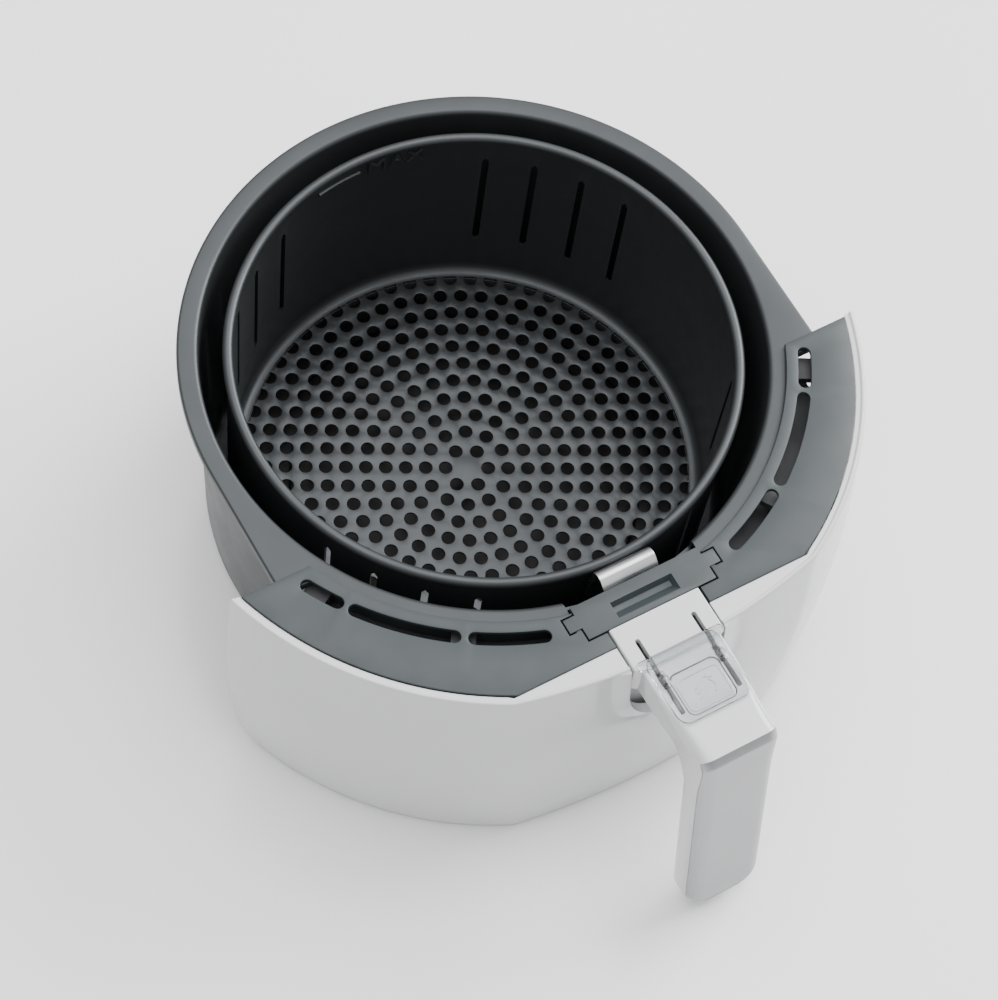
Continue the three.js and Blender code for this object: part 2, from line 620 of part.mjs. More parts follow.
// The web under the bridge that joins the two halves of the deck.
function deckTrough() {
  const inner = BRIDGE_HALF + SLIP;
  const outer = inner + DECK_PLATE;
  const low = BRIDGE_BOTTOM_Z - SLIP;
  const web = block(-outer, outer, NECK_BACK_Y + SLIP, -FLANGE_R - SLIP, low - DECK_PLATE, DECK_TOP_Z - 0.5);
  return cut(web, block(-inner, inner, NECK_BACK_Y - 1, -FLANGE_R + 1, low, DECK_TOP_Z + 1));
}

function deckCover() {
  const inset = FASCIA_WALL + GAP;
  const radius = WING_R - inset;
  const frontX = Math.sqrt(radius ** 2 - (FRONT_EDGE_Y + WING_CENTRE_TOP) ** 2);
  const tipX = Math.sqrt(radius ** 2 - (DECK_REAR_Y + WING_CENTRE_TOP) ** 2);
  const from = deg(Math.atan2(DECK_REAR_Y + WING_CENTRE_TOP, tipX));
  const to = deg(Math.atan2(FRONT_EDGE_Y + WING_CENTRE_TOP, frontX));
  const right = arc(0, -WING_CENTRE_TOP, radius, from, to, 10);
  const left = right.map(([x, y]) => [-x, y]).reverse();
  const rearTurn = deg(Math.acos(-DECK_REAR_Y / DECK_IN_R));
  const inner = arc(0, 0, DECK_IN_R, -rearTurn - 90, rearTurn - 90, 32);
  const outline = [...right, ...left, ...inner].map(([x, y]) => new THREE.Vector2(x, y)).reverse();
  const top = plate(new THREE.Shape(outline), DECK_TOP_Z - DECK_PLATE, DECK_TOP_Z);
  const posts = POST_ANGLES.map((angle) =>
    post(POST_R, ...around(POST_CIRCLE_R, angle), POST_BOTTOM_Z, DECK_TOP_Z - DECK_PLATE / 2));
  const pilots = POST_ANGLES.map((angle) =>
    post(PILOT_R, ...around(POST_CIRCLE_R, angle), POST_BOTTOM_Z - 1, DECK_TOP_Z - DECK_PLATE / 2));
  const bridgeSeat = plate(bridgeOutline(SLIP), DECK_TOP_Z - DECK_PLATE - SLIP, DECK_TOP_Z + 1);
  const neckNotch = block(-NOTCH_HALF, NOTCH_HALF, FRONT_EDGE_Y - 5, BRIDGE_FRONT_Y + 1, 0, DECK_TOP_Z + 1);
  const vents = VENT_ANGLES.flatMap(([a, b]) => [ventSlot(a, b), ventSlot(-b, -a)]);
  const body = join(top, deckTrough(), ...posts);
  piece("deck_cover", cut(body, ...pilots, bridgeSeat, neckNotch, ...vents), DARK_PLASTIC);
}

// ---- Fascia ----

// How far down the fascia a level is: 0 at the top, 1 at the bottom.
function downFascia(z) {
  return (DECK_TOP_Z - z) / (DECK_TOP_Z - FASCIA_BOTTOM_Z);
}

function wingRadius(down) {
  return WING_R - WING_TAPER * down + WING_BULGE * Math.sin(Math.PI * down);
}

function wingCentre(down) {
  return WING_CENTRE_TOP + (WING_CENTRE_BOTTOM - WING_CENTRE_TOP) * down;
}

// The wing circle's distance in front of the axis, at a distance x from the middle.
function frontY(x, down) {
  return wingCentre(down) + Math.sqrt(wingRadius(down) ** 2 - x ** 2);
}

function cornerX(down) {
  return CORNER_X_TOP + (CORNER_X_BOTTOM - CORNER_X_TOP) * down;
}

function panelBow(down) {
  return PANEL_BOW_TOP + (PANEL_BOW_BOTTOM - PANEL_BOW_TOP) * down;
}

// How far the middle of the front panel stands in front of the axis.
function panelReach(down) {
  return frontY(cornerX(down), down) + panelBow(down);
}

// Half of the fascia's outline at a level: along the right wing to the corner, then to the panel's middle.
function fasciaHalf(down, inset) {
  const radius = wingRadius(down) - inset;
  const centre = wingCentre(down);
  const x = cornerX(down) - inset * 0.45;
  const cornerTurn = deg(Math.acos(x / radius));
  const wing = arc(0, -centre, radius, -12, -cornerTurn, 10);
  const cornerY = wing[wing.length - 1][1];
  const panel = [0.75, 0.5, 0.25, 0].map((share) => [x * share, cornerY - panelBow(down) * (1 - share ** 2)]);
  return [...wing, ...panel];
}

function fasciaRing(down) {
  const outer = fasciaHalf(down, 0);
  const inner = fasciaHalf(down, FASCIA_WALL);
  const mirror = (half) => half.slice(0, -1).map(([x, y]) => [-x, y]).reverse();
  return [...inner, ...mirror(inner), ...[...outer, ...mirror(outer)].reverse()];
}

// A closed solid through rings of equal point counts, one above the other.
function lofted(rings, levels) {
  const count = rings[0].length;
  const corners = rings.flatMap((ring, i) => ring.map(([x, y]) => [x, y, levels[i]]));
  const faces = THREE.ShapeUtils.triangulateShape(rings[0].map(([x, y]) => new THREE.Vector2(x, y)), []);
  const last = (rings.length - 1) * count;
  const triangles = faces.map(([a, b, c]) => [a, b, c]);
  triangles.push(...faces.map(([a, b, c]) => [last + a, last + c, last + b]));
  for (let i = 0; i < last; i += count) {
    for (let j = 0; j < count; j += 1) {
      const k = (j + 1) % count;
      triangles.push([i + j, i + count + j, i + count + k], [i + j, i + count + k, i + k]);
    }
  }
  const geometry = new THREE.BufferGeometry();
  geometry.setAttribute("position", new THREE.Float32BufferAttribute(corners.flat(), 3));
  geometry.setIndex(triangles.flat());
  return solid(geometry);
}

// Behind this profile the wings are cut away: a leaning edge with a rounded lower corner.
function rearCut() {
  const rearY = DECK_REAR_Y + 0.8;
  const lowY = rearY - REAR_LEAN;
  const low = FASCIA_BOTTOM_Z + REAR_CORNER_R;
  return sideways([
    [rearY, DECK_TOP_Z + 5],
    [rearY, DECK_TOP_Z],
    [lowY, low],
    ...arc(lowY - REAR_CORNER_R, low, REAR_CORNER_R, 0, -90, 6).slice(1),
    [lowY - REAR_CORNER_R, FASCIA_BOTTOM_Z - 5],
    [0, FASCIA_BOTTOM_Z - 5],
    [0, DECK_TOP_Z + 5],
  ].reverse(), -2 * WING_R, 2 * WING_R);
}

// The opening in the front panel for the neck, with a rounded bottom.
function notchCut() {
  const low = NOTCH_BOTTOM_Z + NOTCH_ROUND;
  const round = arc(0, 0, 1, 0, -180, 12).map(([x, z]) => [x * NOTCH_HALF, low + z * NOTCH_ROUND]);
  return frontways([[-NOTCH_HALF, DECK_TOP_Z + 5], ...round.reverse(), [NOTCH_HALF, DECK_TOP_Z + 5]],
    -WING_R - 60, FRONT_EDGE_Y + 1);
}

const FASCIA_SCREWS = [
  ["fascia_screw_1", -42, 0.75],
  ["fascia_screw_2", -42, 0.25],
  ["fascia_screw_3", 42, 0.25],
  ["fascia_screw_4", 42, 0.75],
]; // name, angle from the handle's axis, share of the height

// The distance from the pan's axis to the fascia's outer face, at an angle and a level.
function wingReach(angle, z) {
  const down = downFascia(z);
  const centre = wingCentre(down);
  const aside = centre * Math.sin(rad(angle));
  return centre * Math.cos(rad(angle)) + Math.sqrt(wingRadius(down) ** 2 - aside ** 2);
}

function frontLip() {
  const outer = fasciaHalf(0, 1).slice(10);
  const full = [...outer, ...outer.slice(0, -1).map(([x, y]) => [-x, y]).reverse()];
  const x = full[0][0];
  const outline = [...full, [-x, FRONT_EDGE_Y - GAP], [x, FRONT_EDGE_Y - GAP]].reverse();
  const shape = new THREE.Shape(outline.map(([a, b]) => new THREE.Vector2(a, b)));
  return plate(shape, DECK_TOP_Z - LIP_THICK, DECK_TOP_Z);
}

function fascia() {
  const levels = [0, 0.08, 0.2, 0.35, 0.5, 0.65, 0.8, 1];
  const shell = lofted(levels.map(fasciaRing), levels.map((down) =>
    DECK_TOP_Z - down * (DECK_TOP_Z - FASCIA_BOTTOM_Z)));
  const bosses = FASCIA_SCREWS.map(([, angle, share]) => {
    const z = share * DECK_TOP_Z;
    const wall = wingReach(angle, z) - FASCIA_WALL;
    return cut(
      spoke(BOSS_R, angle, FRAME_OUT_R + GAP, wall + 1.5, z),
      spoke(PILOT_R, angle, FRAME_OUT_R - 1, FRAME_OUT_R + 12, z),
    );
  });
  piece("fascia", cut(join(shell, frontLip(), ...bosses), rearCut(), notchCut()), WHITE_PLASTIC);
}

// ---- Frame and keeper ----

const SADDLE_FRONT_Y = -(panelReach(downFascia(SADDLE_TOP_Z)) - FASCIA_WALL - SLIP);
const KEEPER_FRONT_Y = SADDLE_FRONT_Y + SADDLE_WALL + GAP;
const KEEPER_BACK_Y = KEEPER_FRONT_Y + KEEPER_SHEET;
const KEEPER_TOP_Z = SADDLE_TOP_Z - 1;
const KEEPER_BOTTOM_Z = SADDLE_BOTTOM_Z + 6;
const KEEPER_SCREW_Z = KEEPER_BOTTOM_Z + 5;
const CATCH_Z = KEEPER_SCREW_Z + 10;
const LEVER_LEG = 2.8;
const LEVER_LEG_Y = KEEPER_BACK_Y + NOSE_CLEARANCE + 2;
const KEEPER_SCREWS = { keeper_screw_left: -5.5, keeper_screw_right: 5.5 };

function yRod(radius, x, y0, y1, z, sides = SMALL_SIDES) {
  const cylinder = new THREE.CylinderGeometry(radius, radius, y1 - y0, sides);
  return solid(cylinder.translate(x, (y0 + y1) / 2, z));
}

function frontFrame() {
  const wall = sector(FRAME_IN_R, FRAME_OUT_R, -FRAME_ANGLE, FRAME_ANGLE,
    FRAME_BOTTOM_Z, LUG_BOTTOM_Z + 0.5, 28);
  const lugs = POST_ANGLES.map((angle) =>
    radialBlock(TAB_WIDTH, angle, FRAME_IN_R + 0.6, POST_CIRCLE_R + POST_R, LUG_BOTTOM_Z, LUG_TOP_Z));
  const lugFeet = POST_ANGLES.map((angle) =>
    radialBlock(TAB_WIDTH, angle, FRAME_IN_R + 0.3, FRAME_OUT_R + 1, LUG_BOTTOM_Z - 12, LUG_BOTTOM_Z + 1));
  const lugHoles = POST_ANGLES.map((angle) =>
    post(PILOT_R, ...around(POST_CIRCLE_R, angle), LUG_BOTTOM_Z - 1, LUG_TOP_Z + 1));
  const saddle = cut(
    block(-SADDLE_HALF, SADDLE_HALF, SADDLE_FRONT_Y, -FRAME_IN_R - 1, SADDLE_BOTTOM_Z, SADDLE_TOP_Z),
    block(SADDLE_WALL - SADDLE_HALF, SADDLE_HALF - SADDLE_WALL, SADDLE_FRONT_Y + SADDLE_WALL,
      -FRAME_OUT_R, SADDLE_BOTTOM_Z + SADDLE_WALL, SADDLE_TOP_Z + 1),
  );
  const keeperHoles = Object.values(KEEPER_SCREWS).map((x) =>
    yRod(PILOT_R, x, SADDLE_FRONT_Y - 1, SADDLE_FRONT_Y + SADDLE_WALL + 1, KEEPER_SCREW_Z));
  const fasciaHoles = FASCIA_SCREWS.map(([, angle, share]) =>
    spoke(PILOT_R, angle, FRAME_IN_R - 2, FRAME_OUT_R + 2, share * DECK_TOP_Z));
  const shelfR = VENT_R + VENT_WIDTH / 2 + SHELF_REACH;
  const shelves = [[SHELF_ANGLE, FRAME_ANGLE], [-FRAME_ANGLE, -SHELF_ANGLE]].map(([from, to]) =>
    sector(FRAME_OUT_R - 1, shelfR, from, to, SHELF_Z, SHELF_Z + SHELF_PLATE, 12));
  const driverHoles = POST_ANGLES.map((angle) =>
    post(HEAD_R + SLIP, ...around(POST_CIRCLE_R, angle), SHELF_Z - 1, SHELF_Z + SHELF_PLATE + 1));
  const shape = join(wall, ...lugFeet, ...lugs, saddle, cut(join(...shelves), ...driverHoles));
  piece("front_frame", cut(shape, ...lugHoles, ...keeperHoles, ...fasciaHoles), FRAME_PLASTIC);
}

function latchKeeper() {
  const sheet = block(-KEEPER_HALF, KEEPER_HALF, KEEPER_FRONT_Y, KEEPER_BACK_Y,
    KEEPER_BOTTOM_Z, KEEPER_TOP_Z);
  const catchWindow = block(-LEVER_HALF, LEVER_HALF, KEEPER_FRONT_Y - 1, KEEPER_BACK_Y + 1,
    CATCH_Z - 4, CATCH_Z + 4);
  const holes = Object.values(KEEPER_SCREWS).map((x) =>
    yRod(PILOT_R, x, KEEPER_FRONT_Y - 1, KEEPER_BACK_Y + 1, KEEPER_SCREW_Z));
  piece("latch_keeper", cut(sheet, catchWindow, ...holes), STEEL);
}

function keeperScrews() {
  const headY = KEEPER_BACK_Y + GAP;
  for (const [name, x] of Object.entries(KEEPER_SCREWS)) {
    piece(name, join(
      yRod(HEAD_R, x, headY, headY + HEAD_THICK, KEEPER_SCREW_Z),
      yRod(SHANK_R, x, SADDLE_FRONT_Y, headY + 1, KEEPER_SCREW_Z),
    ), STEEL);
  }
}

function deckScrews() {
  POST_ANGLES.forEach((angle, i) => {
    const [x, y] = around(POST_CIRCLE_R, angle);
    const headTop = LUG_BOTTOM_Z - GAP;
    piece(`deck_screw_${i + 1}`, join(
      post(HEAD_R, x, y, headTop - HEAD_THICK, headTop),
      post(SHANK_R, x, y, headTop - 1, DECK_TOP_Z - DECK_PLATE / 2 - GAP),
    ), STEEL);
  });
}

function fasciaScrews() {
  for (const [name, angle, share] of FASCIA_SCREWS) {
    const head = FRAME_IN_R - GAP;
    piece(name, join(
      spoke(HEAD_R, angle, head - HEAD_THICK, head, share * DECK_TOP_Z),
      spoke(SHANK_R, angle, head - 1, FRAME_OUT_R + 11, share * DECK_TOP_Z),
    ), STEEL);
  }
}

// ---- Handle ----

const STRAP_SCREWS = [[-STRAP_SCREW_X, STRAP_SCREW_Y], [STRAP_SCREW_X, STRAP_SCREW_Y]];
const CAVITY_FRONT_Y = BUTTON_FRONT_Y - 12;
const UNDERPLATE_SCREWS = [-UNDERPLATE_SCREW_X, UNDERPLATE_SCREW_X].map((x) => [x, BUTTON_FRONT_Y - 7]);
const GRIP_TOP_Y = CREST_Y - 2; // the grip's front face at the deck's level

// The grip's front face at a level, and a face parallel to it behind.
function gripFront(z) {
  return GRIP_TOP_Y - GRIP_LEAN * (DECK_TOP_Z - z);
}

// The handle from the side: neck above, grip hanging down, with rounded corners.
function handleProfile(backOfNeck) {
  const back = (z) => gripFront(z) + GRIP_THICK;
  const low = GRIP_BOTTOM_Z;
  const inner = NECK_UNDER_Z - 14;
  const bend = new THREE.QuadraticBezierCurve(
    new THREE.Vector2(back(inner) + 12, NECK_UNDER_Z),
    new THREE.Vector2(back(NECK_UNDER_Z) + 1, NECK_UNDER_Z - 1),
    new THREE.Vector2(back(inner), inner),
  ).getPoints(4).map((p) => [p.x, p.y]);
  const toe = new THREE.QuadraticBezierCurve(
    new THREE.Vector2(back(low + 8), low + 8),
    new THREE.Vector2(back(low), low),
    new THREE.Vector2(back(low) - 7, low),
  ).getPoints(3).map((p) => [p.x, p.y]);
  return [
    [backOfNeck, DECK_TOP_Z],
    [CREST_Y, DECK_TOP_Z],
    [gripFront(DECK_TOP_Z - 3), DECK_TOP_Z - 3],
    [gripFront(low + 4), low + 4],
    [gripFront(low) + 3, low],
    ...toe.reverse(),
    ...bend.reverse(),
    [backOfNeck, NECK_UNDER_Z],
  ];
}

// The plan outline of the handle, wide at the back and narrower past the shoulder.
function handlePlan() {
  const front = gripFront(GRIP_BOTTOM_Z) - 2;
  const right = [
    [NECK_HALF_BACK, NECK_BACK_Y],
    [NECK_HALF_BACK, SHOULDER_Y],
    [NECK_HALF, SHOULDER_Y - 1.5],
    [NECK_HALF, front],
  ];
  const left = right.map(([x, y]) => [-x, y]).reverse();
  return new THREE.Shape([...right, ...left].map(([x, y]) => new THREE.Vector2(x, y)).reverse());
}

// The silver front of the grip, as a side profile, grown by a clearance.
function insertProfile(grow) {
  const top = DECK_TOP_Z + grow;
  const low = GRIP_BOTTOM_Z + INSERT_MARGIN - grow;
  return [
    [CREST_Y + grow, top],
    [CREST_Y - 20, top],
    [gripFront(low) - 20, low],
    [gripFront(low) + INSERT_THICK + grow, low],
    [gripFront(DECK_TOP_Z - INSERT_THICK) + INSERT_THICK + grow, DECK_TOP_Z - INSERT_THICK],
  ];
}

function handleShell() {
  const swept = sideways(handleProfile(NECK_BACK_Y), -NECK_HALF_BACK - 1, NECK_HALF_BACK + 1);
  const body = swept.intersect(plate(handlePlan(), 0, DECK_TOP_Z + 1));
  const halfFront = NECK_HALF - NECK_WALL;
  const halfBack = NECK_HALF_BACK - NECK_WALL;
  const backWallY = NECK_BACK_Y - NECK_WALL;
  const cavity = join(
    block(-halfFront, halfFront, CAVITY_FRONT_Y, SHOULDER_Y + 1, NECK_UNDER_Z - 1, PLATE_UNDER_Z),
    block(-halfBack, halfBack, SHOULDER_Y, backWallY, NECK_UNDER_Z - 1, PLATE_UNDER_Z),
  );
  const tonguePort = block(-TONGUE_HALF - SLIP, TONGUE_HALF + SLIP, backWallY - 1, NECK_BACK_Y + 1,
    STRAP_TOP_Z - STRAP_SHEET - SLIP, STRAP_TOP_Z + GAP);
  const bosses = [
    ...STRAP_SCREWS.map(([x, y]) => post(BOSS_R, x, y, STRAP_TOP_Z + GAP, PLATE_UNDER_Z + 0.1)),
    ...UNDERPLATE_SCREWS.map(([x, y]) => post(BOSS_R, x, y, NECK_UNDER_Z + 4 + GAP, PLATE_UNDER_Z + 0.1)),
  ];
  const pilots = [
    ...STRAP_SCREWS.map(([x, y]) => post(PILOT_R, x, y, STRAP_TOP_Z - 1, DECK_TOP_Z - 1)),
    ...UNDERPLATE_SCREWS.map(([x, y]) => post(PILOT_R, x, y, NECK_UNDER_Z, DECK_TOP_Z - 1.5)),
  ];
  const pinBore = crossRod(PIN_R + PIN_PLAY, -NECK_HALF_BACK - 1, NECK_HALF_BACK + 1, PIVOT_Y, PIVOT_Z, 16);
  const buttonHole = roundedBlock(BUTTON_HALF + SLIP, BUTTON_FRONT_Y - SLIP, BUTTON_BACK_Y + SLIP,
    PLATE_UNDER_Z - 1, DECK_TOP_Z + 1, 3);
  const slotY = NECK_BACK_Y - SLOT_SETBACK;
  const slots = [-SLOT_X, SLOT_X].map((x) => block(x - SLOT_WIDTH / 2, x + SLOT_WIDTH / 2,
    slotY - SLOT_LENGTH, slotY, PLATE_UNDER_Z - 1, DECK_TOP_Z + 1));
  const seatHalf = NECK_HALF - INSERT_MARGIN + GAP;
  const insertSeat = sideways(insertProfile(GAP), -seatHalf, seatHalf);
  const cuts = [tonguePort, ...pilots, pinBore, buttonHole, ...slots, insertSeat];
  piece("handle_shell", cut(join(cut(body, cavity), ...bosses), ...cuts), WHITE_PLASTIC);
}

function gripInsert() {
  const half = NECK_HALF - INSERT_MARGIN;
  const low = GRIP_BOTTOM_Z + INSERT_MARGIN;
  const face = sideways([
    [CREST_Y, DECK_TOP_Z],
    [gripFront(DECK_TOP_Z - 3), DECK_TOP_Z - 3],
    [gripFront(low + 2), low + 2],
    [gripFront(low) + 1.5, low],
    [gripFront(low) + INSERT_THICK, low],
    [gripFront(DECK_TOP_Z - INSERT_THICK) + INSERT_THICK, DECK_TOP_Z - INSERT_THICK],
  ].reverse(), -half, half);
  piece("grip_insert", face, SILVER_PLASTIC);
}

function neckUnderplate() {
  const half = NECK_HALF - NECK_WALL - GAP;
  const front = CAVITY_FRONT_Y + GAP;
  const back = NECK_BACK_Y - NECK_WALL - GAP;
  const sheet = block(-half, half, front, back, NECK_UNDER_Z, FLOOR_IN_NECK_Z);
  const bosses = UNDERPLATE_SCREWS.map(([x, y]) => post(BOSS_R, x, y, NECK_UNDER_Z, NECK_UNDER_Z + 4));
  const seats = UNDERPLATE_SCREWS.map(([x, y]) =>
    post(HEAD_R + GAP, x, y, NECK_UNDER_Z - 1, NECK_UNDER_Z + HEAD_THICK + GAP));
  const holes = UNDERPLATE_SCREWS.map(([x, y]) => post(PILOT_R, x, y, NECK_UNDER_Z - 1, NECK_UNDER_Z + 5));
  const legHole = block(-LEVER_HALF, LEVER_HALF, KEEPER_BACK_Y - 1, LEVER_LEG_Y + LEVER_LEG + 2.5,
    NECK_UNDER_Z - 1, DECK_TOP_Z);
  piece("neck_underplate", cut(join(sheet, ...bosses), ...seats, ...holes, legHole), WHITE_PLASTIC);
}

function handleScrews() {
  const sides = ["left", "right"];
  STRAP_SCREWS.forEach(([x, y], i) => {
    const headTop = STRAP_TOP_Z - STRAP_SHEET - GAP;
    piece(`strap_screw_${sides[i]}`, join(
      post(HEAD_R, x, y, headTop - HEAD_THICK, headTop),
      post(SHANK_R, x, y, headTop - 1, DECK_TOP_Z - 1 - GAP),
    ), STEEL);
  });
  UNDERPLATE_SCREWS.forEach(([x, y], i) => {
    const headTop = NECK_UNDER_Z + HEAD_THICK;
    piece(`underplate_screw_${sides[i]}`, join(
      post(HEAD_R, x, y, NECK_UNDER_Z + 0.1, headTop),
      post(SHANK_R, x, y, headTop - 1, DECK_TOP_Z - 1.5 - GAP),
    ), STEEL);
  });
}

// ---- Button, spring, lever, pin and guard ----

const RIM_TOP_Z = PLATE_UNDER_Z - GAP;
const RIM_BOTTOM_Z = RIM_TOP_Z - 1.5;
const FOOT_IN_X = SPRING_R + SPRING_WIRE + 0.8;

function releaseButton() {
  const cap = roundedBlock(BUTTON_HALF, BUTTON_FRONT_Y, BUTTON_BACK_Y, RIM_BOTTOM_Z, DECK_TOP_Z, 2.8);
  const rim = block(-BUTTON_HALF, BUTTON_HALF, BUTTON_FRONT_Y - BUTTON_RIM, BUTTON_BACK_Y + BUTTON_RIM,
    RIM_BOTTOM_Z, RIM_TOP_Z);
  const feet = [-1, 1].map((side) =>
    block(side * FOOT_IN_X, side * LEVER_HALF, BUTTON_MID_Y - 2, BUTTON_MID_Y + 2,
      LEVER_TOP_Z + GAP, RIM_TOP_Z));
  piece("release_button", join(cap, rim, ...feet), WHITE_PLASTIC);
}

class Helix extends THREE.Curve {
  constructor(radius, turns, z0, z1) {
    super();
    Object.assign(this, { radius, turns, z0, z1 });
  }

  getPoint(t, target = new THREE.Vector3()) {
    const turn = 2 * Math.PI * this.turns * t;
    return target.set(
      this.radius * Math.cos(turn),
      BUTTON_MID_Y + this.radius * Math.sin(turn),
      this.z0 + (this.z1 - this.z0) * t,
    );
  }
}

function buttonSpring() {
  const wire = new THREE.Shape(arc(0, 0, SPRING_WIRE, 0, 300, 5).map(([x, y]) => new THREE.Vector2(x, y)));
  const low = FLOOR_IN_NECK_Z + GAP + SPRING_WIRE;
  const high = RIM_BOTTOM_Z - GAP - SPRING_WIRE;
  const path = new Helix(SPRING_R, SPRING_TURNS, low, high);
  const along = { steps: 12 * SPRING_TURNS, extrudePath: path, bevelEnabled: false };
  piece("button_spring", solid(new THREE.ExtrudeGeometry(wire, along)), STEEL);
}

function latchLever() {
  const hub = crossRod(LEVER_HUB_R, -LEVER_HALF, LEVER_HALF, PIVOT_Y, PIVOT_Z, 16);
  const tipY = BUTTON_MID_Y - 3;
  const arm = block(-LEVER_HALF, LEVER_HALF, tipY, PIVOT_Y, LEVER_TOP_Z - LEVER_SHEET, LEVER_TOP_Z);
  const fork = block(-FOOT_IN_X, FOOT_IN_X, tipY - 1, BUTTON_MID_Y + FOOT_IN_X, 0, DECK_TOP_Z);
  const half = LEVER_HALF - 1.5;
  const webTop = PIVOT_Z - 0.6;
  const leg = block(-half, half, LEVER_LEG_Y, LEVER_LEG_Y + LEVER_LEG, CATCH_Z - 2.5, webTop);
  const web = block(-half, half, PIVOT_Y, LEVER_LEG_Y + LEVER_LEG, webTop - LEVER_SHEET, webTop);
  const nose = sideways([
    [LEVER_LEG_Y + 1, CATCH_Z - 2.5],
    [LEVER_LEG_Y + 1, CATCH_Z + 2.5],
    [KEEPER_BACK_Y + NOSE_CLEARANCE, CATCH_Z + 2],
    [KEEPER_BACK_Y + NOSE_CLEARANCE, CATCH_Z + 0.5],
  ].reverse(), -half, half);
  const bore = crossRod(PIN_R + PIN_PLAY, -20, 20, PIVOT_Y, PIVOT_Z, 16);
  piece("latch_lever", cut(join(hub, cut(arm, fork), web, leg, nose), bore), STEEL);
}

function latchPin() {
  const half = NECK_HALF_BACK - GAP;
  piece("latch_pin", crossRod(PIN_R, -half, half, PIVOT_Y, PIVOT_Z, 16), STEEL);
}

function slideGuard() {
  const backY = SHOULDER_Y + 1.6;
  const frontEdgeY = backY - GUARD_LENGTH;
  const low = DECK_TOP_Z + GAP;
  const sheet = roundedBlock(GUARD_HALF, frontEdgeY, backY, low, low + GUARD_PLATE, 3);
  const barHalf = GUARD_HALF + 2.6;
  const bar = block(-barHalf, barHalf, backY - GUARD_BAR, backY, low, low + GUARD_PLATE + 0.7);
  const legBackY = NECK_BACK_Y - SLOT_SETBACK - GUARD_TRAVEL - GAP;
  const legs = [-1, 1].map((side) => {
    const inX = side * (SLOT_X - SLOT_WIDTH / 2 + GAP);
    const outX = side * (SLOT_X + SLOT_WIDTH / 2 - GAP);
    const footX = side * (SLOT_X + SLOT_WIDTH / 2 + 0.6);
    return join(
      block(inX, outX, legBackY - LEG_LENGTH, legBackY, PLATE_UNDER_Z - 1.6, low + 0.5),
      block(inX, footX, legBackY - LEG_LENGTH, legBackY, PLATE_UNDER_Z - 1.6, PLATE_UNDER_Z - GAP),
    );
  });
  piece("slide_guard", join(sheet, bar, ...legs), CLEAR_PLASTIC);
}

pan();
basket();
basketStrap();
strapRivets();
bridgeCover();
deckCover();
fascia();
frontFrame();
latchKeeper();
keeperScrews();
deckScrews();
fasciaScrews();
handleShell();
gripInsert();
neckUnderplate();
handleScrews();
releaseButton();
buttonSpring();
latchLever();
latchPin();
slideGuard();

export default model;
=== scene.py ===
import math

import bmesh
import bpy
from mathutils import Matrix, Vector
from mathutils.geometry import delaunay_2d_cdt


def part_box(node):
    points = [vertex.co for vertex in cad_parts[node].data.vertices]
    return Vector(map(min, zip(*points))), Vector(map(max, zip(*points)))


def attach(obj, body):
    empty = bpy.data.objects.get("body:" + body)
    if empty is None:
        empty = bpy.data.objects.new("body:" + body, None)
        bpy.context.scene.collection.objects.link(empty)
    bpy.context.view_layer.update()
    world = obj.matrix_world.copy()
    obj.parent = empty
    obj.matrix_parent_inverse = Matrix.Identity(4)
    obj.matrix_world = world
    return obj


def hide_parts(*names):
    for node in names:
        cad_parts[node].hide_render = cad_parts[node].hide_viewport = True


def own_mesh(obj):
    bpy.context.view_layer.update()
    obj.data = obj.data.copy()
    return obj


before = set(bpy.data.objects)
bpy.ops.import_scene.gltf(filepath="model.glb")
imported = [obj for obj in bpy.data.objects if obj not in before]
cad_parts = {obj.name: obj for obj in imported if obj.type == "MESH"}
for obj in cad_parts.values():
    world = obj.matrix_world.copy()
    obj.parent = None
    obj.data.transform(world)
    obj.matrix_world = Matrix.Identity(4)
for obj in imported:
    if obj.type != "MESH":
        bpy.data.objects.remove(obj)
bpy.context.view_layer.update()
MM = 0.001


def low_high(node):
    low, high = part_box(node)
    return low / MM, high / MM


# ---- Camera values ----

VIEW_TURN = 37.4  # degrees from the handle's axis
VIEW_RISE = 61.54  # degrees above the floor
VIEW_ROLL = -9.05  # degrees
VIEW_DISTANCE = 1214.4  # from the middle of the basket's floor
LENS = 109.14
AIM_ASIDE = -0.010575  # where the basket's floor stands beside the middle of the view, as a tangent
AIM_ABOVE = 0.010657

# ---- Places that come from the frame ----

PAN_HIGH = low_high("pan")[1]
BASKET_LOW, BASKET_HIGH = low_high("basket")
DECK_LOW, DECK_HIGH = low_high("deck_cover")
FASCIA_LOW = low_high("fascia")[0]
BRIDGE_LOW, BRIDGE_HIGH = low_high("bridge_cover")
STRAP_LOW, STRAP_HIGH = low_high("basket_strap")
SHELL_LOW, SHELL_HIGH = low_high("handle_shell")
INSERT_LOW = low_high("grip_insert")[0]
GUARD_LOW, GUARD_HIGH = low_high("slide_guard")
BUTTON_LOW, BUTTON_HIGH = low_high("release_button")
SPRING_LOW, SPRING_HIGH = low_high("button_spring")

FLANGE_R = PAN_HIGH.x
FLANGE_TOP = PAN_HIGH.z
RIM_R = BASKET_HIGH.x
RIM_TOP = BASKET_HIGH.z
DECK_TOP = DECK_HIGH.z
DECK_REAR = DECK_HIGH.y
FRONT_EDGE = DECK_LOW.y
BRIDGE_BACK = BRIDGE_HIGH.y
BRIDGE_FRONT = BRIDGE_LOW.y
NECK_BACK = SHELL_HIGH.y
FASCIA_BOTTOM = FASCIA_LOW.z
SHEET = 1.2  # of the pan and the basket
BASKET_FLOOR = BASKET_LOW.z + SHEET

# ---- Sizes of the pieces ----

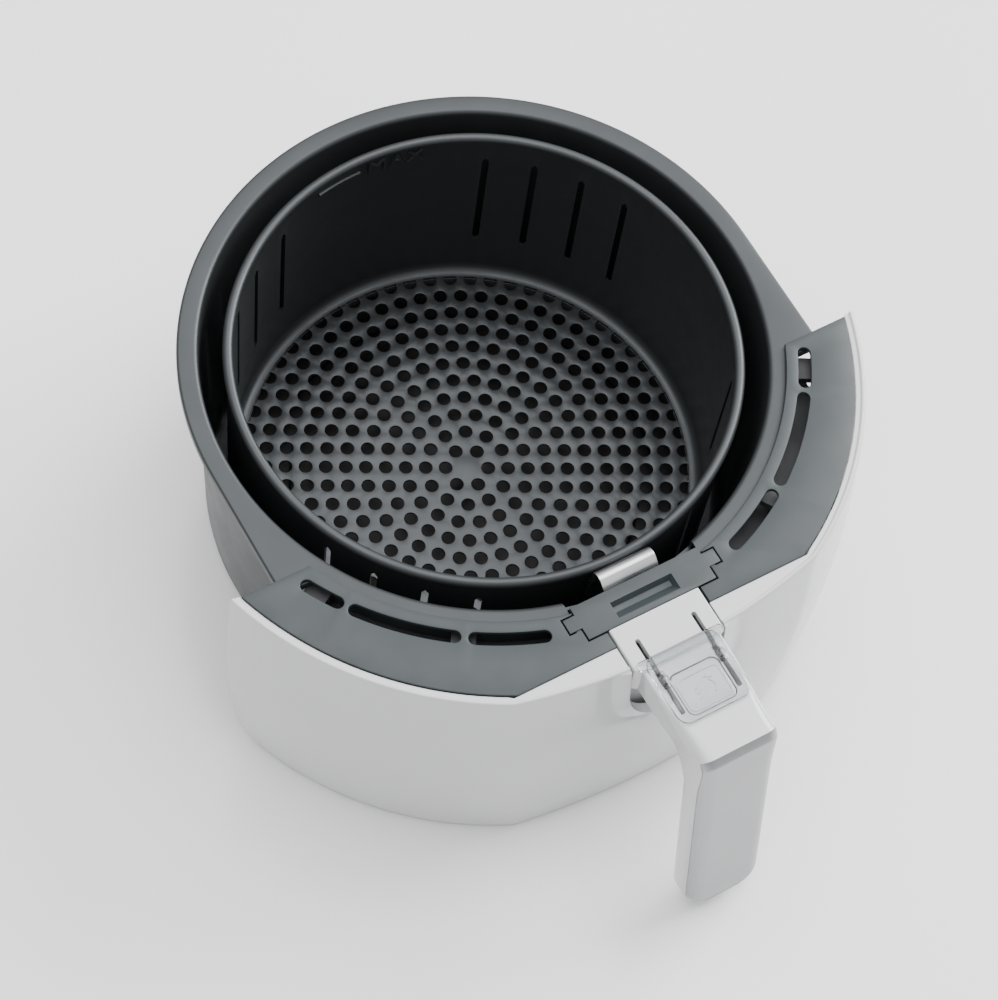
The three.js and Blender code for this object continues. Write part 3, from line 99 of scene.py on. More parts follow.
ROUND = 192  # stations round the pan and the basket
PAN_MOUTH_R = 106.8
PAN_FLOOR_R = 103.2
PAN_CORNER = 5
LIP_HEIGHT = 3.4
LIP_ROUND = 1.2
EAR_LENGTH = 55
RIB_R = 74
RIB_HALF = 3
RIB_HEIGHT = 0.8

BEAD_R = 2.0
BASKET_IN_R = RIM_R - 3
BASKET_FLOOR_R = BASKET_IN_R - 0.7
BASKET_CORNER = 4.5
HOLE_RINGS = 11
HOLE_PITCH = 8
HOLE_FIRST_R = 8.56
HOLE_R = 2.72
HOLE_TURN = 2.4  # degrees
SLOT_WIDTH = 2.7
SLOT_LOW = BASKET_FLOOR + 22
SLOT_HIGH = RIM_TOP - 14.2
SLOT_STEP = 11.75  # degrees
SLOT_TURN = -3  # degrees
MARK_DROP = 4.4
MARK_HEIGHT = 7.2

DECK_PLATE = 2
DECK_IN_R = FLANGE_R - 2
VENT_R = DECK_IN_R + 7
VENT_HALF = 2.4
VENT_ANGLES = ((19.5, 31.5), (35, 52.5), (55.8, 61.8))  # degrees from the handle's axis
POST_CIRCLE_R = VENT_R + VENT_HALF + 4.2
POST_R = 3.2

WALL = 3.5
WING_R = PAN_MOUTH_R + 32.2
WING_CENTRE = (7.5, 13.5)  # at the top and at the bottom
WING_TAPER = 3
WING_BULGE = 3.5
CORNER_X = (63.2, 56.2)
PANEL_BOW = (8.0, 4.8)
REAR_LEAN = 5.5
REAR_CORNER = 11
NOTCH_HALF = 19.6
NOTCH_DEPTH = 39
NOTCH_ROUND = 22
BEAD_RISE = 0.8
BEAD_WIDTH = 1.9

STRAP_SHEET = 1.5
TAB_REACH = 4.9  # of the bridge's side tabs
TAB_SETBACK = 3.2  # from the bridge's back edge
TAB_LENGTH = 5.8
BRIDGE_HALF = BRIDGE_HIGH.x - TAB_REACH
TAB_BACK = BRIDGE_BACK - TAB_SETBACK
TAB_FRONT = TAB_BACK - TAB_LENGTH
POCKET_HALF = 12.8
POCKET_LENGTH = 6.4
POCKET_DEPTH = 3

NECK_HALF = 16.4
NECK_WALL = 2.4
NECK_DEPTH = 15
NECK_UNDER = DECK_TOP - NECK_DEPTH
CREST = NECK_BACK - 60
SHOULDER = NECK_BACK - 17.8
GRIP_LEAN = 0.161
GRIP_THICK = 15.2
GRIP_LOW = SHELL_LOW.z
CHAMFER_LOW = 106.8
BEND_LOW = NECK_UNDER - 14
BEND_HIGH = 100
TOE = 8  # height of the grip's rounded lower end
TOE_SHARES = (0.85, 0.7, 0.55, 0.42, 0.3)
SEAT_LOW = INSERT_LOW.z - 0.2
SEAT_RIM = 0.6  # from the grip's side to the insert's seat

GUIDE_X = 11.8  # middle of the slots that the guard's legs run in
GUIDE_BACK = NECK_BACK - 7.4
GUIDE_LENGTH = 32.7
GUARD_TRAVEL = 17
BUTTON_RIM = 2
BUTTON_BACK = BUTTON_HIGH.y - BUTTON_RIM
BUTTON_FRONT = BUTTON_LOW.y + BUTTON_RIM
MARK_TOP = DECK_TOP + 0.28  # of the ring and the symbol on the button

FASCIA_SCREW_ANGLE = 42
DECK_SCREW_ANGLE = 33.3

SLIP = 0.5
GAP = 0.3
LUG_TOP = FLANGE_TOP - LIP_HEIGHT - 2 * GAP


# ---- Small tools ----

def around(radius, degrees):
    turn = math.radians(degrees)
    return radius * math.sin(turn), -radius * math.cos(turn)


def arc(a, b, radius, start, end, steps):
    turns = [math.radians(start + (end - start) * i / steps) for i in range(steps + 1)]
    return [(a + radius * math.cos(t), b + radius * math.sin(t)) for t in turns]


def mix(pair, share):
    return pair[0] + (pair[1] - pair[0]) * share


def smooth_step(x, low, high):
    t = min(max((x - low) / (high - low), 0.0), 1.0)
    return t * t * (3 - 2 * t)


def spread(low, high, steps):
    return [low + (high - low) * i / steps for i in range(steps + 1)]


def make(name, points, faces):
    mesh = bpy.data.meshes.new(name)
    mesh.from_pydata([Vector(p) * MM for p in points], [], faces)
    obj = bpy.data.objects.new(name, mesh)
    bpy.context.scene.collection.objects.link(obj)
    return tidy(obj)


def tidy(obj, merge=1e-7):
    """Merges doubled points and turns every face outwards."""
    work = bmesh.new()
    work.from_mesh(obj.data)
    bmesh.ops.remove_doubles(work, verts=work.verts, dist=merge)
    bmesh.ops.recalc_face_normals(work, faces=work.faces)
    work.to_mesh(obj.data)
    work.free()
    return obj


def bake(obj):
    """Applies the piece's modifiers to its mesh."""
    bpy.context.view_layer.update()
    seen = obj.evaluated_get(bpy.context.evaluated_depsgraph_get())
    mesh = bpy.data.meshes.new_from_object(seen)
    obj.modifiers.clear()
    obj.data = mesh
    return obj


def loft(name, rings, capped=True):
    """A surface through rings of equal point counts, with a cap at each end unless it closes by itself."""
    count = len(rings[0])
    points = [p for ring in rings for p in ring]
    faces = []
    for i in range(len(rings) - 1):
        for j in range(count):
            k = (j + 1) % count
            faces.append((i * count + j, i * count + k, (i + 1) * count + k, (i + 1) * count + j))
    if capped:
        faces.append(tuple(range(count)))
        faces.append(tuple((len(rings) - 1) * count + j for j in reversed(range(count))))
    return make(name, points, faces)


def lathe(name, profile, sides=ROUND, place=(0, 0, 0)):
    """A profile of (radius, z) points turned about Z. Points on the axis close it."""
    px, py, pz = place
    rings = []
    for r, z in profile:
        turns = [2 * math.pi * i / sides for i in range(sides)]
        rings.append([(px + r * math.cos(t), py + r * math.sin(t), pz + z) for t in turns])
    on_axis = profile[0][0] == 0 and profile[-1][0] == 0
    if not on_axis:
        rings.append(rings[0])
    return loft(name, rings, capped=False)


def prism(name, outline, at0, at1, way="x"):
    """An outline swept along X, Y or Z, its points being the other two coordinates in order."""
    place = {"x": lambda a, b, c: (c, a, b), "y": lambda a, b, c: (a, c, b), "z": lambda a, b, c: (a, b, c)}[way]
    return loft(name, [[place(a, b, at) for a, b in outline] for at in (at0, at1)])


def block(name, x0, x1, y0, y1, z0, z1):
    return prism(name, [(x0, y0), (x1, y0), (x1, y1), (x0, y1)], z0, z1, "z")


def bevel(obj, width, segments=3, angle=35):
    edge = obj.modifiers.new("edge", "BEVEL")
    edge.width = width * MM
    edge.segments = segments
    edge.limit_method = "ANGLE"
    edge.angle_limit = math.radians(angle)
    edge.use_clamp_overlap = True
    return bake(obj)


def cut(obj, others):
    """Takes the other pieces away from the first."""
    for other in others:
        step = obj.modifiers.new("cut", "BOOLEAN")
        step.operation = "DIFFERENCE"
        step.solver = "EXACT"
        step.object = other
    bake(obj)
    for other in others:
        bpy.data.objects.remove(other)
    return obj


def joined(name, parts):
    """One object that holds the meshes of several."""
    work = bmesh.new()
    for part in parts:
        work.from_mesh(part.data)
        bpy.data.objects.remove(part)
    mesh = bpy.data.meshes.new(name)
    work.to_mesh(mesh)
    work.free()
    obj = bpy.data.objects.new(name, mesh)
    bpy.context.scene.collection.objects.link(obj)
    return obj


def inset_loop(loop, by):
    """A closed loop moved to its left, which is into the material."""
    moved = []
    for before, here, after in zip(loop[-1:] + loop[:-1], loop, loop[1:] + loop[:1]):
        a = (Vector(here) - Vector(before)).normalized()
        b = (Vector(after) - Vector(here)).normalized()
        left = Vector((-a.y - b.y, a.x + b.x))
        reach = by / max(left.length_squared / 2, 0.35)
        moved.append((here[0] + left.x * reach, here[1] + left.y * reach))
    return moved


def turned_way(loop, leftwards):
    area = sum(a[0] * b[1] - b[0] * a[1] for a, b in zip(loop, loop[1:] + loop[:1]))
    return loop if (area > 0) == leftwards else loop[::-1]


def flat_plate(name, outlines, z0, z1, edge):
    """A flat plate with rounded edges. The first outline is its rim and the others are its holes."""
    loops = [turned_way(outline, index == 0) for index, outline in enumerate(outlines)]
    levels = [(edge, z0), (edge * 0.3, z0 + edge * 0.3), (0, z0 + edge), (0, z1 - edge),
              (edge * 0.3, z1 - edge * 0.3), (edge, z1)]
    flat, sides = [], []
    for loop in loops:
        start = len(flat)
        flat += inset_loop(loop, edge)
        sides += [(start + k, start + (k + 1) % len(loop)) for k in range(len(loop))]
    corners, _, triangles, _, _, _ = delaunay_2d_cdt([Vector(p) for p in flat], sides, [], 1, 1e-5)
    insets = [inset_loop(loop, edge) for loop in loops]
    spans = [[(min(axis), max(axis)) for axis in zip(*loop)] for loop in insets]
    faces = [face for face in triangles
             if within(insets, spans, sum((corners[k] for k in face), Vector((0, 0))) / 3)]
    points = [(c.x, c.y, z1) for c in corners] + [(c.x, c.y, z0) for c in corners]
    faces += [tuple(k + len(corners) for k in face) for face in faces]
    for loop in loops:
        rings = [[(*p, z) for p in inset_loop(loop, inset)] for inset, z in levels]
        count = len(loop)
        for ring in rings:
            points += ring
        base = len(points) - count * len(rings)
        for i in range(len(rings) - 1):
            for k in range(count):
                a, b = base + i * count + k, base + i * count + (k + 1) % count
                faces.append((a, b, b + count, a + count))
    return tidy(make(name, points, faces), 2e-6)


def within(loops, spans, point):
    """Whether a point lies inside the rim and outside every hole."""
    inside = False
    for loop, ((x0, x1), (y0, y1)) in zip(loops, spans):
        if not (x0 < point.x < x1 and y0 < point.y < y1):
            continue
        for (ax, ay), (bx, by) in zip(loop, loop[1:] + loop[:1]):
            if (ay > point.y) != (by > point.y) and point.x < ax + (bx - ax) * (point.y - ay) / (by - ay):
                inside = not inside
    return inside


def rounded(half, y0, y1, corner, steps=6):
    """A rectangle with round corners, half its width to each side of the middle."""
    return (arc(half - corner, y1 - corner, corner, 0, 90, steps)
            + arc(corner - half, y1 - corner, corner, 90, 180, steps)
            + arc(corner - half, y0 + corner, corner, 180, 270, steps)
            + arc(half - corner, y0 + corner, corner, 270, 360, steps))


def dress(obj, body, slot, nodes, angle=38, finish=None):
    """Smooth shading, finish and body of a finished piece, whose CAD nodes are hidden. The finish is the slot's
    own by default.
    """
    obj.data.shade_smooth()
    obj.data.set_sharp_from_angle(angle=math.radians(angle))
    obj.data.materials.clear()
    obj.data.materials.append(FINISHES[finish or slot].material)
    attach(obj, body)
    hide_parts(*nodes)


# ---- Materials ----

class Finish:
    """A material with its Principled shader and short names for wiring nodes."""

    def __init__(self, name, color, roughness, metallic=0.0):
        self.material = bpy.data.materials.new(name)
        self.material.use_nodes = True
        self.nodes = self.material.node_tree.nodes
        self.links = self.material.node_tree.links
        self.shader = self.nodes["Principled BSDF"]
        self.set("Base Color", (*color, 1))
        self.set("Roughness", roughness)
        self.set("Metallic", metallic)
        self.color = color
        self.place = self.nodes.new("ShaderNodeTexCoord").outputs["Object"]

    def set(self, socket, value):
        self.shader.inputs[socket].default_value = value

    def noise(self, scale, detail=4.0, stretch=(1, 1, 1), rough=0.55):
        mapping = self.nodes.new("ShaderNodeMapping")
        mapping.inputs["Scale"].default_value = stretch
        self.links.new(self.place, mapping.inputs["Vector"])
        noise = self.nodes.new("ShaderNodeTexNoise")
        noise.inputs["Scale"].default_value = scale
        noise.inputs["Detail"].default_value = detail
        noise.inputs["Roughness"].default_value = rough
        self.links.new(mapping.outputs["Vector"], noise.inputs["Vector"])
        return noise.outputs["Fac"]

    def ranged(self, value, low, high, start=0.3, end=0.7):
        node = self.nodes.new("ShaderNodeMapRange")
        node.inputs["From Min"].default_value = start
        node.inputs["From Max"].default_value = end
        node.inputs["To Min"].default_value = low
        node.inputs["To Max"].default_value = high
        self.links.new(value, node.inputs["Value"])
        return node.outputs["Result"]

    def rough_from(self, value, low, high):
        self.links.new(self.ranged(value, low, high), self.shader.inputs["Roughness"])

    def tint_from(self, value, spread_by):
        """Varies the colour lightly between a darker and a lighter tone."""
        ramp = self.nodes.new("ShaderNodeValToRGB")
        ramp.color_ramp.elements[0].position = 0.3
        ramp.color_ramp.elements[1].position = 0.7
        ramp.color_ramp.elements[0].color = (*[c * (1 - spread_by) for c in self.color], 1)
        ramp.color_ramp.elements[1].color = (*[min(c * (1 + spread_by), 1) for c in self.color], 1)
        self.links.new(value, ramp.inputs["Fac"])
        self.links.new(ramp.outputs["Color"], self.shader.inputs["Base Color"])

    def shade_where(self, measure, start, end, color):
        """Blends the base colour towards another where a distance in millimetres passes from start to end."""
        blend = self.nodes.new("ShaderNodeMix")
        blend.data_type = "RGBA"
        self.links.new(self.ranged(measure, 0, 1, start * MM, end * MM), blend.inputs["Factor"])
        self.links.new(self.shader.inputs["Base Color"].links[0].from_socket, blend.inputs["A"])
        blend.inputs["B"].default_value = (*color, 1)
        self.links.new(blend.outputs["Result"], self.shader.inputs["Base Color"])

    def coordinate(self, axis):
        split = self.nodes.new("ShaderNodeSeparateXYZ")
        self.links.new(self.place, split.inputs["Vector"])
        return split.outputs[axis]

    def radius(self):
        flat = self.nodes.new("ShaderNodeVectorMath")
        flat.operation = "MULTIPLY"
        flat.inputs[1].default_value = (1, 1, 0)
        self.links.new(self.place, flat.inputs[0])
        size = self.nodes.new("ShaderNodeVectorMath")
        size.operation = "LENGTH"
        self.links.new(flat.outputs["Vector"], size.inputs[0])
        return size.outputs["Value"]

    def bump_from(self, value, depth, strength=1.0):
        bump = self.nodes.new("ShaderNodeBump")
        bump.inputs["Distance"].default_value = depth * MM
        bump.inputs["Strength"].default_value = strength
        self.links.new(value, bump.inputs["Height"])
        self.links.new(bump.outputs["Normal"], self.shader.inputs["Normal"])


def varied(name, color, roughness, metallic, rough, bump, tint=None):
    """A finish whose roughness, relief and colour each vary with a noise: its scale, its detail, then how far."""
    finish = Finish(name, color, roughness, metallic)
    finish.rough_from(finish.noise(rough[0]), *rough[1:])
    if tint:
        finish.tint_from(finish.noise(*tint[:2]), tint[2])
    finish.bump_from(finish.noise(*bump[:2]), *bump[2:])
    return finish


def brushed_steel():
    finish = Finish("steel", (0.62, 0.63, 0.64), 0.28, 1.0)
    finish.set("Anisotropic", 0.5)
    grain = finish.noise(900, 3, stretch=(0.04, 1, 1))
    finish.rough_from(grain, 0.22, 0.38)
    finish.tint_from(finish.noise(150, 3, stretch=(0.08, 1, 1)), 0.08)
    finish.bump_from(grain, 0.02, 0.4)
    return finish


COATING = (0.44, 0.60, (60, 0.38, 0.46), (1800, 2, 0.03, 0.35), (25, 3, 0.05))
FINISHES = {
    "coated_metal": varied("coated_metal", (0.052, 0.057, 0.061), *COATING),
    "pan_coating_painted_shade": varied("pan_coating_painted_shade", (0.046, 0.051, 0.054), *COATING),
    "dark_plastic": varied("dark_plastic", (0.024, 0.0325, 0.036), 0.46, 0, (90, 0.42, 0.52),
                           (2200, 2, 0.04, 0.4), (40, 3, 0.04)),
    "frame_plastic": varied("frame_plastic", (0.045, 0.048, 0.052), 0.5, 0, (80, 0.45, 0.58),
                            (1500, 2, 0.04, 0.4), (30, 3, 0.06)),
    "white_plastic": varied("white_plastic", (0.600, 0.604, 0.616), 0.16, 0, (35, 0.14, 0.20),
                            (25, 2, 0.02, 0.15), (18, 2, 0.008)),
    "silver_plastic": varied("silver_plastic", (0.360, 0.363, 0.375), 0.34, 0.60, (120, 0.30, 0.38),
                             (3000, 1, 0.01, 0.3), (3500, 1, 0.05)),
    "steel": brushed_steel(),
    "clear_plastic": varied("clear_plastic", (0.93, 0.95, 0.96), 0.05, 0, (50, 0.03, 0.08), (40, 2, 0.02, 0.15)),
}
# Painted shade: the pan's floor, which shows through the basket's holes, is painted darker than the rest of its
# coating to stand in for the shade under the basket.
FINISHES["pan_coating_painted_shade"].shade_where(FINISHES["pan_coating_painted_shade"].radius(), 97, 92, (0.008, 0.008, 0.009))
# The frame is pale in front of the saddle, where the notch in the front panel shows it.
FINISHES["frame_plastic"].shade_where(FINISHES["frame_plastic"].coordinate("Y"), -126, -130, (0.45, 0.45, 0.46))
FINISHES["white_plastic"].set("Coat Weight", 0.3)
FINISHES["white_plastic"].set("Coat Roughness", 0.06)
FINISHES["clear_plastic"].set("Transmission Weight", 1.0)
FINISHES["clear_plastic"].set("IOR", 1.32)


# ---- Pan ----

def flange_reach(turn):
    """How far the flange reaches at an angle: a half circle behind, straight sides, a circle in front."""
    x, y = math.cos(turn), math.sin(turn)
    if y >= 0:
        return FLANGE_R
    side = FLANGE_R / max(abs(x), 1e-6)
    if side * y > -EAR_LENGTH:
        return side
    return max(FLANGE_R, EAR_LENGTH / abs(y))


def pan():
    corner = PAN_CORNER
    inner = corner - SHEET
    out_r = PAN_FLOOR_R + SHEET
    under = FLANGE_TOP - SHEET
    rib = [(RIB_R - RIB_HALF - 1, 0), (RIB_R - RIB_HALF, RIB_HEIGHT), (RIB_R + RIB_HALF, RIB_HEIGHT),
           (RIB_R + RIB_HALF + 1, 0)]
    mouth = 2.0  # radius of the turn from the wall to the flange
    wall = [(0, SHEET), *[(r, z + SHEET) for r, z in rib],
            *arc(PAN_FLOOR_R - inner, corner, inner, -90, 0, 6),
            *arc(PAN_MOUTH_R + mouth, FLANGE_TOP - mouth, mouth, 180, 90, 5)]
    lip = LIP_ROUND
    edge = [*[(-r, z) for r, z in arc(lip, FLANGE_TOP - lip, lip, 90, 180, 5)],
            (0, FLANGE_TOP - LIP_HEIGHT), (-SHEET, FLANGE_TOP - LIP_HEIGHT), (-SHEET, under)]
    outside = [(PAN_MOUTH_R + SHEET + 0.8, under), (PAN_MOUTH_R + SHEET, under - 0.8),
               *arc(out_r - corner, corner, corner, 0, -90, 6),
               *rib[::-1], (0, 0)]
    turns = [2 * math.pi * i / ROUND for i in range(ROUND)]
    rings = [[(r * math.cos(t), r * math.sin(t), z) for t in turns] for r, z in wall]
    for inset, z in edge:
        ring = []
        for t in turns:
            reach = flange_reach(t) + inset
            ring.append((reach * math.cos(t), reach * math.sin(t), z))
        rings.append(ring)
    rings += [[(r * math.cos(t), r * math.sin(t), z) for t in turns] for r, z in outside]
    obj = loft("pan_bowl", rings, capped=False)
    half = BRIDGE_HALF + SLIP
    notch = block("notch", -half, half, -FLANGE_R - 5, BRIDGE_BACK + 20, BRIDGE_LOW.z - SLIP, DECK_TOP)
    cut(obj, [notch])
    dress(obj, "drawer", "coated_metal", ["pan"], finish="pan_coating_painted_shade")


# ---- Basket ----

def floor_holes():
    holes = []
    for ring in range(HOLE_RINGS):
        count = 6 * (ring + 1)
        for i in range(count):
            x, y = around(HOLE_FIRST_R + ring * HOLE_PITCH, HOLE_TURN + 360 * i / count)
            holes.append(arc(x, y, HOLE_R, 0, 337.5, 15))
    return holes


def basket_wall():
    corner = BASKET_CORNER
    out_r = BASKET_FLOOR_R + SHEET
    out_corner = corner + SHEET
    floor_low = BASKET_FLOOR - SHEET
    bead_r = RIM_R - BEAD_R
    bead_z = RIM_TOP - BEAD_R
    seam = BASKET_FLOOR_R - corner - 0.2
    profile = [
        (seam, floor_low),
        *arc(out_r - out_corner, floor_low + out_corner, out_corner, -90, 0, 6),
        (BASKET_IN_R + SHEET, bead_z - BEAD_R * 0.9),
        *arc(bead_r, bead_z, BEAD_R, -40, 175, 12),
        (BASKET_IN_R, bead_z - BEAD_R * 1.1),
        *arc(BASKET_FLOOR_R - corner, BASKET_FLOOR + corner, corner, 0, -90, 8),
        (seam, BASKET_FLOOR),
    ]
    wall = lathe("wall", profile)
    cutters = []
    for group in range(4):
        for i in range(4):
            angle = 45 + 90 * group + SLOT_STEP * (i - 1.5) + SLOT_TURN + 180
            x, y = math.cos(math.radians(angle + 90)), math.sin(math.radians(angle + 90))
            half = SLOT_WIDTH / 2
            outline = [(half, SLOT_LOW + half), (half, SLOT_HIGH - 2), (0, SLOT_HIGH), (-half, SLOT_HIGH - 2),
                       (-half, SLOT_LOW + half), (0, SLOT_LOW)]
            near, far = BASKET_IN_R - 3, BASKET_IN_R + 3
            rings = [[(-y * a + x * r, x * a + y * r, z) for a, z in outline] for r in (near, far)]
            cutters.append(loft("slot", rings))
    for drop in (20, 34):
        cutters.append(radial_rod("hole", 1.9, 0, BASKET_IN_R - 6, BASKET_IN_R + 6, RIM_TOP - drop, 24))
    cutter = joined("cutters", cutters)
    return cut(wall, [cutter])


def radial_rod(name, radius, angle, r0, r1, z, sides=32):
    """A round bar that points away from the axis at an angle from the handle's axis."""
    rings = []
    for reach in (r0, r1):
        ring = []
        for i in range(sides):
            t = 2 * math.pi * i / sides
            x, y = around(reach, angle)
            ax, ay = around(1, angle + 90)
            aside = radius * math.cos(t)
            ring.append((x + ax * aside, y + ay * aside, z + radius * math.sin(t)))
        rings.append(ring)
    return loft(name, rings)


def raised_stroke(a0, z0, a1, z1):
    """One raised stroke of the fill mark between two (angle, z) points of the wall, with sloped sides."""
    steps = max(2, int(abs(a1 - a0)))
    length = math.hypot(math.radians(a1 - a0) * BASKET_IN_R, z1 - z0)
    across_a = -(z1 - z0) / length
    across_z = math.radians(a1 - a0) * BASKET_IN_R / length
    rings = []
    for i in range(steps + 1):
        angle, z = mix((a0, a1), i / steps), mix((z0, z1), i / steps)
        ring = []
        for aside, proud in ((-0.75, -0.2), (-0.45, 0.75), (0.45, 0.75), (0.75, -0.2)):
            turn = angle + math.degrees(across_a * aside / BASKET_IN_R)
            ring.append((*around(BASKET_IN_R - 0.05 - proud, turn), z + across_z * aside))
        rings.append(ring)
    return loft("stroke", rings)


def fill_mark():
    top = RIM_TOP - MARK_DROP
    low = top - MARK_HEIGHT
    mid = (top + low) / 2
    strokes = [
        (178.4, low, 178.4, top), (178.4, top, 176.5, mid),
        (176.5, mid, 174.6, top), (174.6, top, 174.6, low),
        (172.9, low, 171.4, top), (171.4, top, 169.9, low), (172.3, mid, 170.5, mid),
        (168.6, low, 165.0, top), (168.6, top, 165.0, low),
        (181.0, mid, 192.6, mid),
    ]
    return [raised_stroke(*stroke) for stroke in strokes]


def basket():
    reach = BASKET_FLOOR_R - BASKET_CORNER
    floor = flat_plate("floor", [arc(0, 0, reach, 0, 360 - 360 / ROUND, ROUND - 1), *floor_holes()],
                       BASKET_FLOOR - SHEET, BASKET_FLOOR, 0.28)
    obj = joined("basket_shell", [basket_wall(), floor, *fill_mark()])
    dress(obj, "basket_unit", "coated_metal", ["basket"])


# ---- Deck ----

def vent(start, end):
    outer = arc(0, 0, VENT_R + VENT_HALF, start - 90, end - 90, 12)
    inner = arc(0, 0, VENT_R - VENT_HALF, end - 90, start - 90, 12)
    ex, ey = around(VENT_R, end)
    sx, sy = around(VENT_R, start)
    far = arc(ex, ey, VENT_HALF, end - 90, end + 90, 8)[1:-1]
    near = arc(sx, sy, VENT_HALF, start + 90, start + 270, 8)[1:-1]
    return outer + far + inner + near


def mirror(points):
    return [(-x, y) for x, y in points][::-1]


def deck_half():
    radius = WING_R - WALL - GAP
    centre = WING_CENTRE[0]
    front_x = math.sqrt(radius ** 2 - (FRONT_EDGE + centre) ** 2)
    tip_x = math.sqrt(radius ** 2 - (DECK_REAR + centre) ** 2)
    start = math.degrees(math.atan2(DECK_REAR + centre, tip_x))
    end = math.degrees(math.atan2(FRONT_EDGE + centre, front_x))
    seat = BRIDGE_HALF + SLIP
    tab = BRIDGE_HIGH.x + SLIP
    tab_back = TAB_BACK + SLIP
    tab_front = TAB_FRONT - SLIP
    inner_start = math.degrees(math.acos(-DECK_REAR / DECK_IN_R))
    inner_end = math.degrees(math.asin(seat / DECK_IN_R))
    return (arc(0, -centre, radius, start, end, 24)
            + [(NOTCH_HALF, FRONT_EDGE), (NOTCH_HALF, BRIDGE_FRONT - SLIP), (seat, BRIDGE_FRONT - SLIP),
               (seat, tab_front), (tab, tab_front), (tab, tab_back), (seat, tab_back)]
            + arc(0, 0, DECK_IN_R, inner_end - 90, inner_start - 90, 48))


def deck():
    halves = []
    for flip in (False, True):
        outlines = [deck_half(), *[vent(*pair) for pair in VENT_ANGLES]]
        if flip:
            outlines = [mirror(outline) for outline in outlines]
        halves.append(flat_plate("half", outlines, DECK_TOP - DECK_PLATE, DECK_TOP, 0.45))
    seat = BRIDGE_HALF + SLIP
    low = DECK_LOW.z
    floor_z = low + DECK_PLATE
    back = -FLANGE_R - SLIP
    front = NECK_BACK + SLIP
    rim = DECK_TOP - 0.5
    outline = [(-seat - DECK_PLATE, rim), (-seat - DECK_PLATE, low), (seat + DECK_PLATE, low),
               (seat + DECK_PLATE, rim), (seat, rim), (seat, floor_z), (-seat, floor_z), (-seat, rim)]
    trough = bevel(prism("trough", outline, front, back, "y"), 0.3, 2)
    posts = []
    for angle in post_angles():
        profile = [(0, LUG_TOP + 0.9), (POST_R, LUG_TOP + 0.9), (POST_R, DECK_TOP - 1), (0, DECK_TOP - 1)]
        posts.append(lathe("post", profile, 32, (*around(POST_CIRCLE_R, angle), 0)))
    obj = joined("deck_panel", [*halves, trough, *posts])
    dress(obj, "drawer", "dark_plastic", ["deck_cover"])


def post_angles():
    outer = math.degrees(math.asin((FLANGE_R - SHEET - POST_R - 2 * GAP) / POST_CIRCLE_R))
    return -outer, -DECK_SCREW_ANGLE, DECK_SCREW_ANGLE, outer


# ---- Fascia ----

def down_at(z):
    return (DECK_TOP - z) / (DECK_TOP - FASCIA_BOTTOM)


def wing(down):
    """Radius and centre of the wings' circle at a level."""
    radius = WING_R - WING_TAPER * down + WING_BULGE * math.sin(math.pi * down)
    return radius, mix(WING_CENTRE, down)


def rear_y(z):
    """The leaning rear edge of the wings, with its rounded lower corner."""
    top_y = DECK_REAR + 0.8
    low = FASCIA_BOTTOM + REAR_CORNER
    low_y = top_y - REAR_LEAN
    if z >= low:
        return top_y + (low_y - top_y) * (DECK_TOP - z) / (DECK_TOP - low)
    drop = min(low - z, REAR_CORNER)
    return low_y - REAR_CORNER + math.sqrt(max(REAR_CORNER ** 2 - drop ** 2, 0))


def notch_half(z):
    """Half the width of the opening for the neck at a level, 0 below it."""
    low = DECK_TOP - NOTCH_DEPTH + NOTCH_ROUND
    if z >= low:
        return NOTCH_HALF
    drop = (low - z) / NOTCH_ROUND
    return NOTCH_HALF * math.sqrt(max(1 - drop * drop, 0))


WING_STEPS = 44
PANEL_STEPS = 22
FRAME_OUT_R = 113.9


def fascia_point(share, z, inset):
    """A point of the right half: share 0 to 1 along the wing, 1 to 2 along the panel to its inner edge."""
    down = min(max(down_at(z), 0), 1)
    radius, centre = wing(down)
    corner_x = mix(CORNER_X, down) - inset * 0.45
    radius -= inset
    corner_turn = math.acos(corner_x / radius)
    if share <= 1:
        start = math.asin(min(max((-rear_y(z) - centre) / radius, -1), 1))
        turn = start + (corner_turn - start) * share
        return radius * math.cos(turn), -centre - radius * math.sin(turn)
    corner_y = -centre - radius * math.sin(corner_turn)
    along = share - 1
    edge = notch_half(z)
    x = corner_x + (edge - corner_x) * along
    bow = mix(PANEL_BOW, down) * (1 - (x / corner_x) ** 2)
    y = corner_y - bow
    if inset <= 0.01 and edge > 0.01:
        reach = x - edge
        collar = 1.1 * math.exp(-(reach / 3.2) ** 2) - 0.55 * math.exp(-((reach - 7.5) / 2.2) ** 2)
        y -= collar * smooth_step(edge, 0, NOTCH_HALF * 0.6)
    return x, y


def fascia_half(rings, levels, side):
    """Half of the fascia, closed at the wing's rear edge and along the notch, open at the middle below it."""
    count = len(rings[0])
    points = [(side * x, y, z) for ring in rings for x, y, z in ring]
    faces = []
    for i in range(len(rings) - 1):
        for j in range(count):
            k = (j + 1) % count
            faces.append((i * count + j, i * count + k, (i + 1) * count + k, (i + 1) * count + j))
    top = len(levels) - 1
    notch = levels.index(DECK_TOP - NOTCH_DEPTH)
    for offset, first in ((0, 1), ((len(rings) - 1) * count, notch)):
        for k in range(first, top):
            faces.append(tuple(offset + j for j in (k + 1, k + 2, count - 2 - k, count - 1 - k)))
        faces.append(tuple(offset + j for j in range(top + 1, count - top)))
    faces.append((0, 1, 2, count - 2, count - 1))
    return make("half", points, faces)


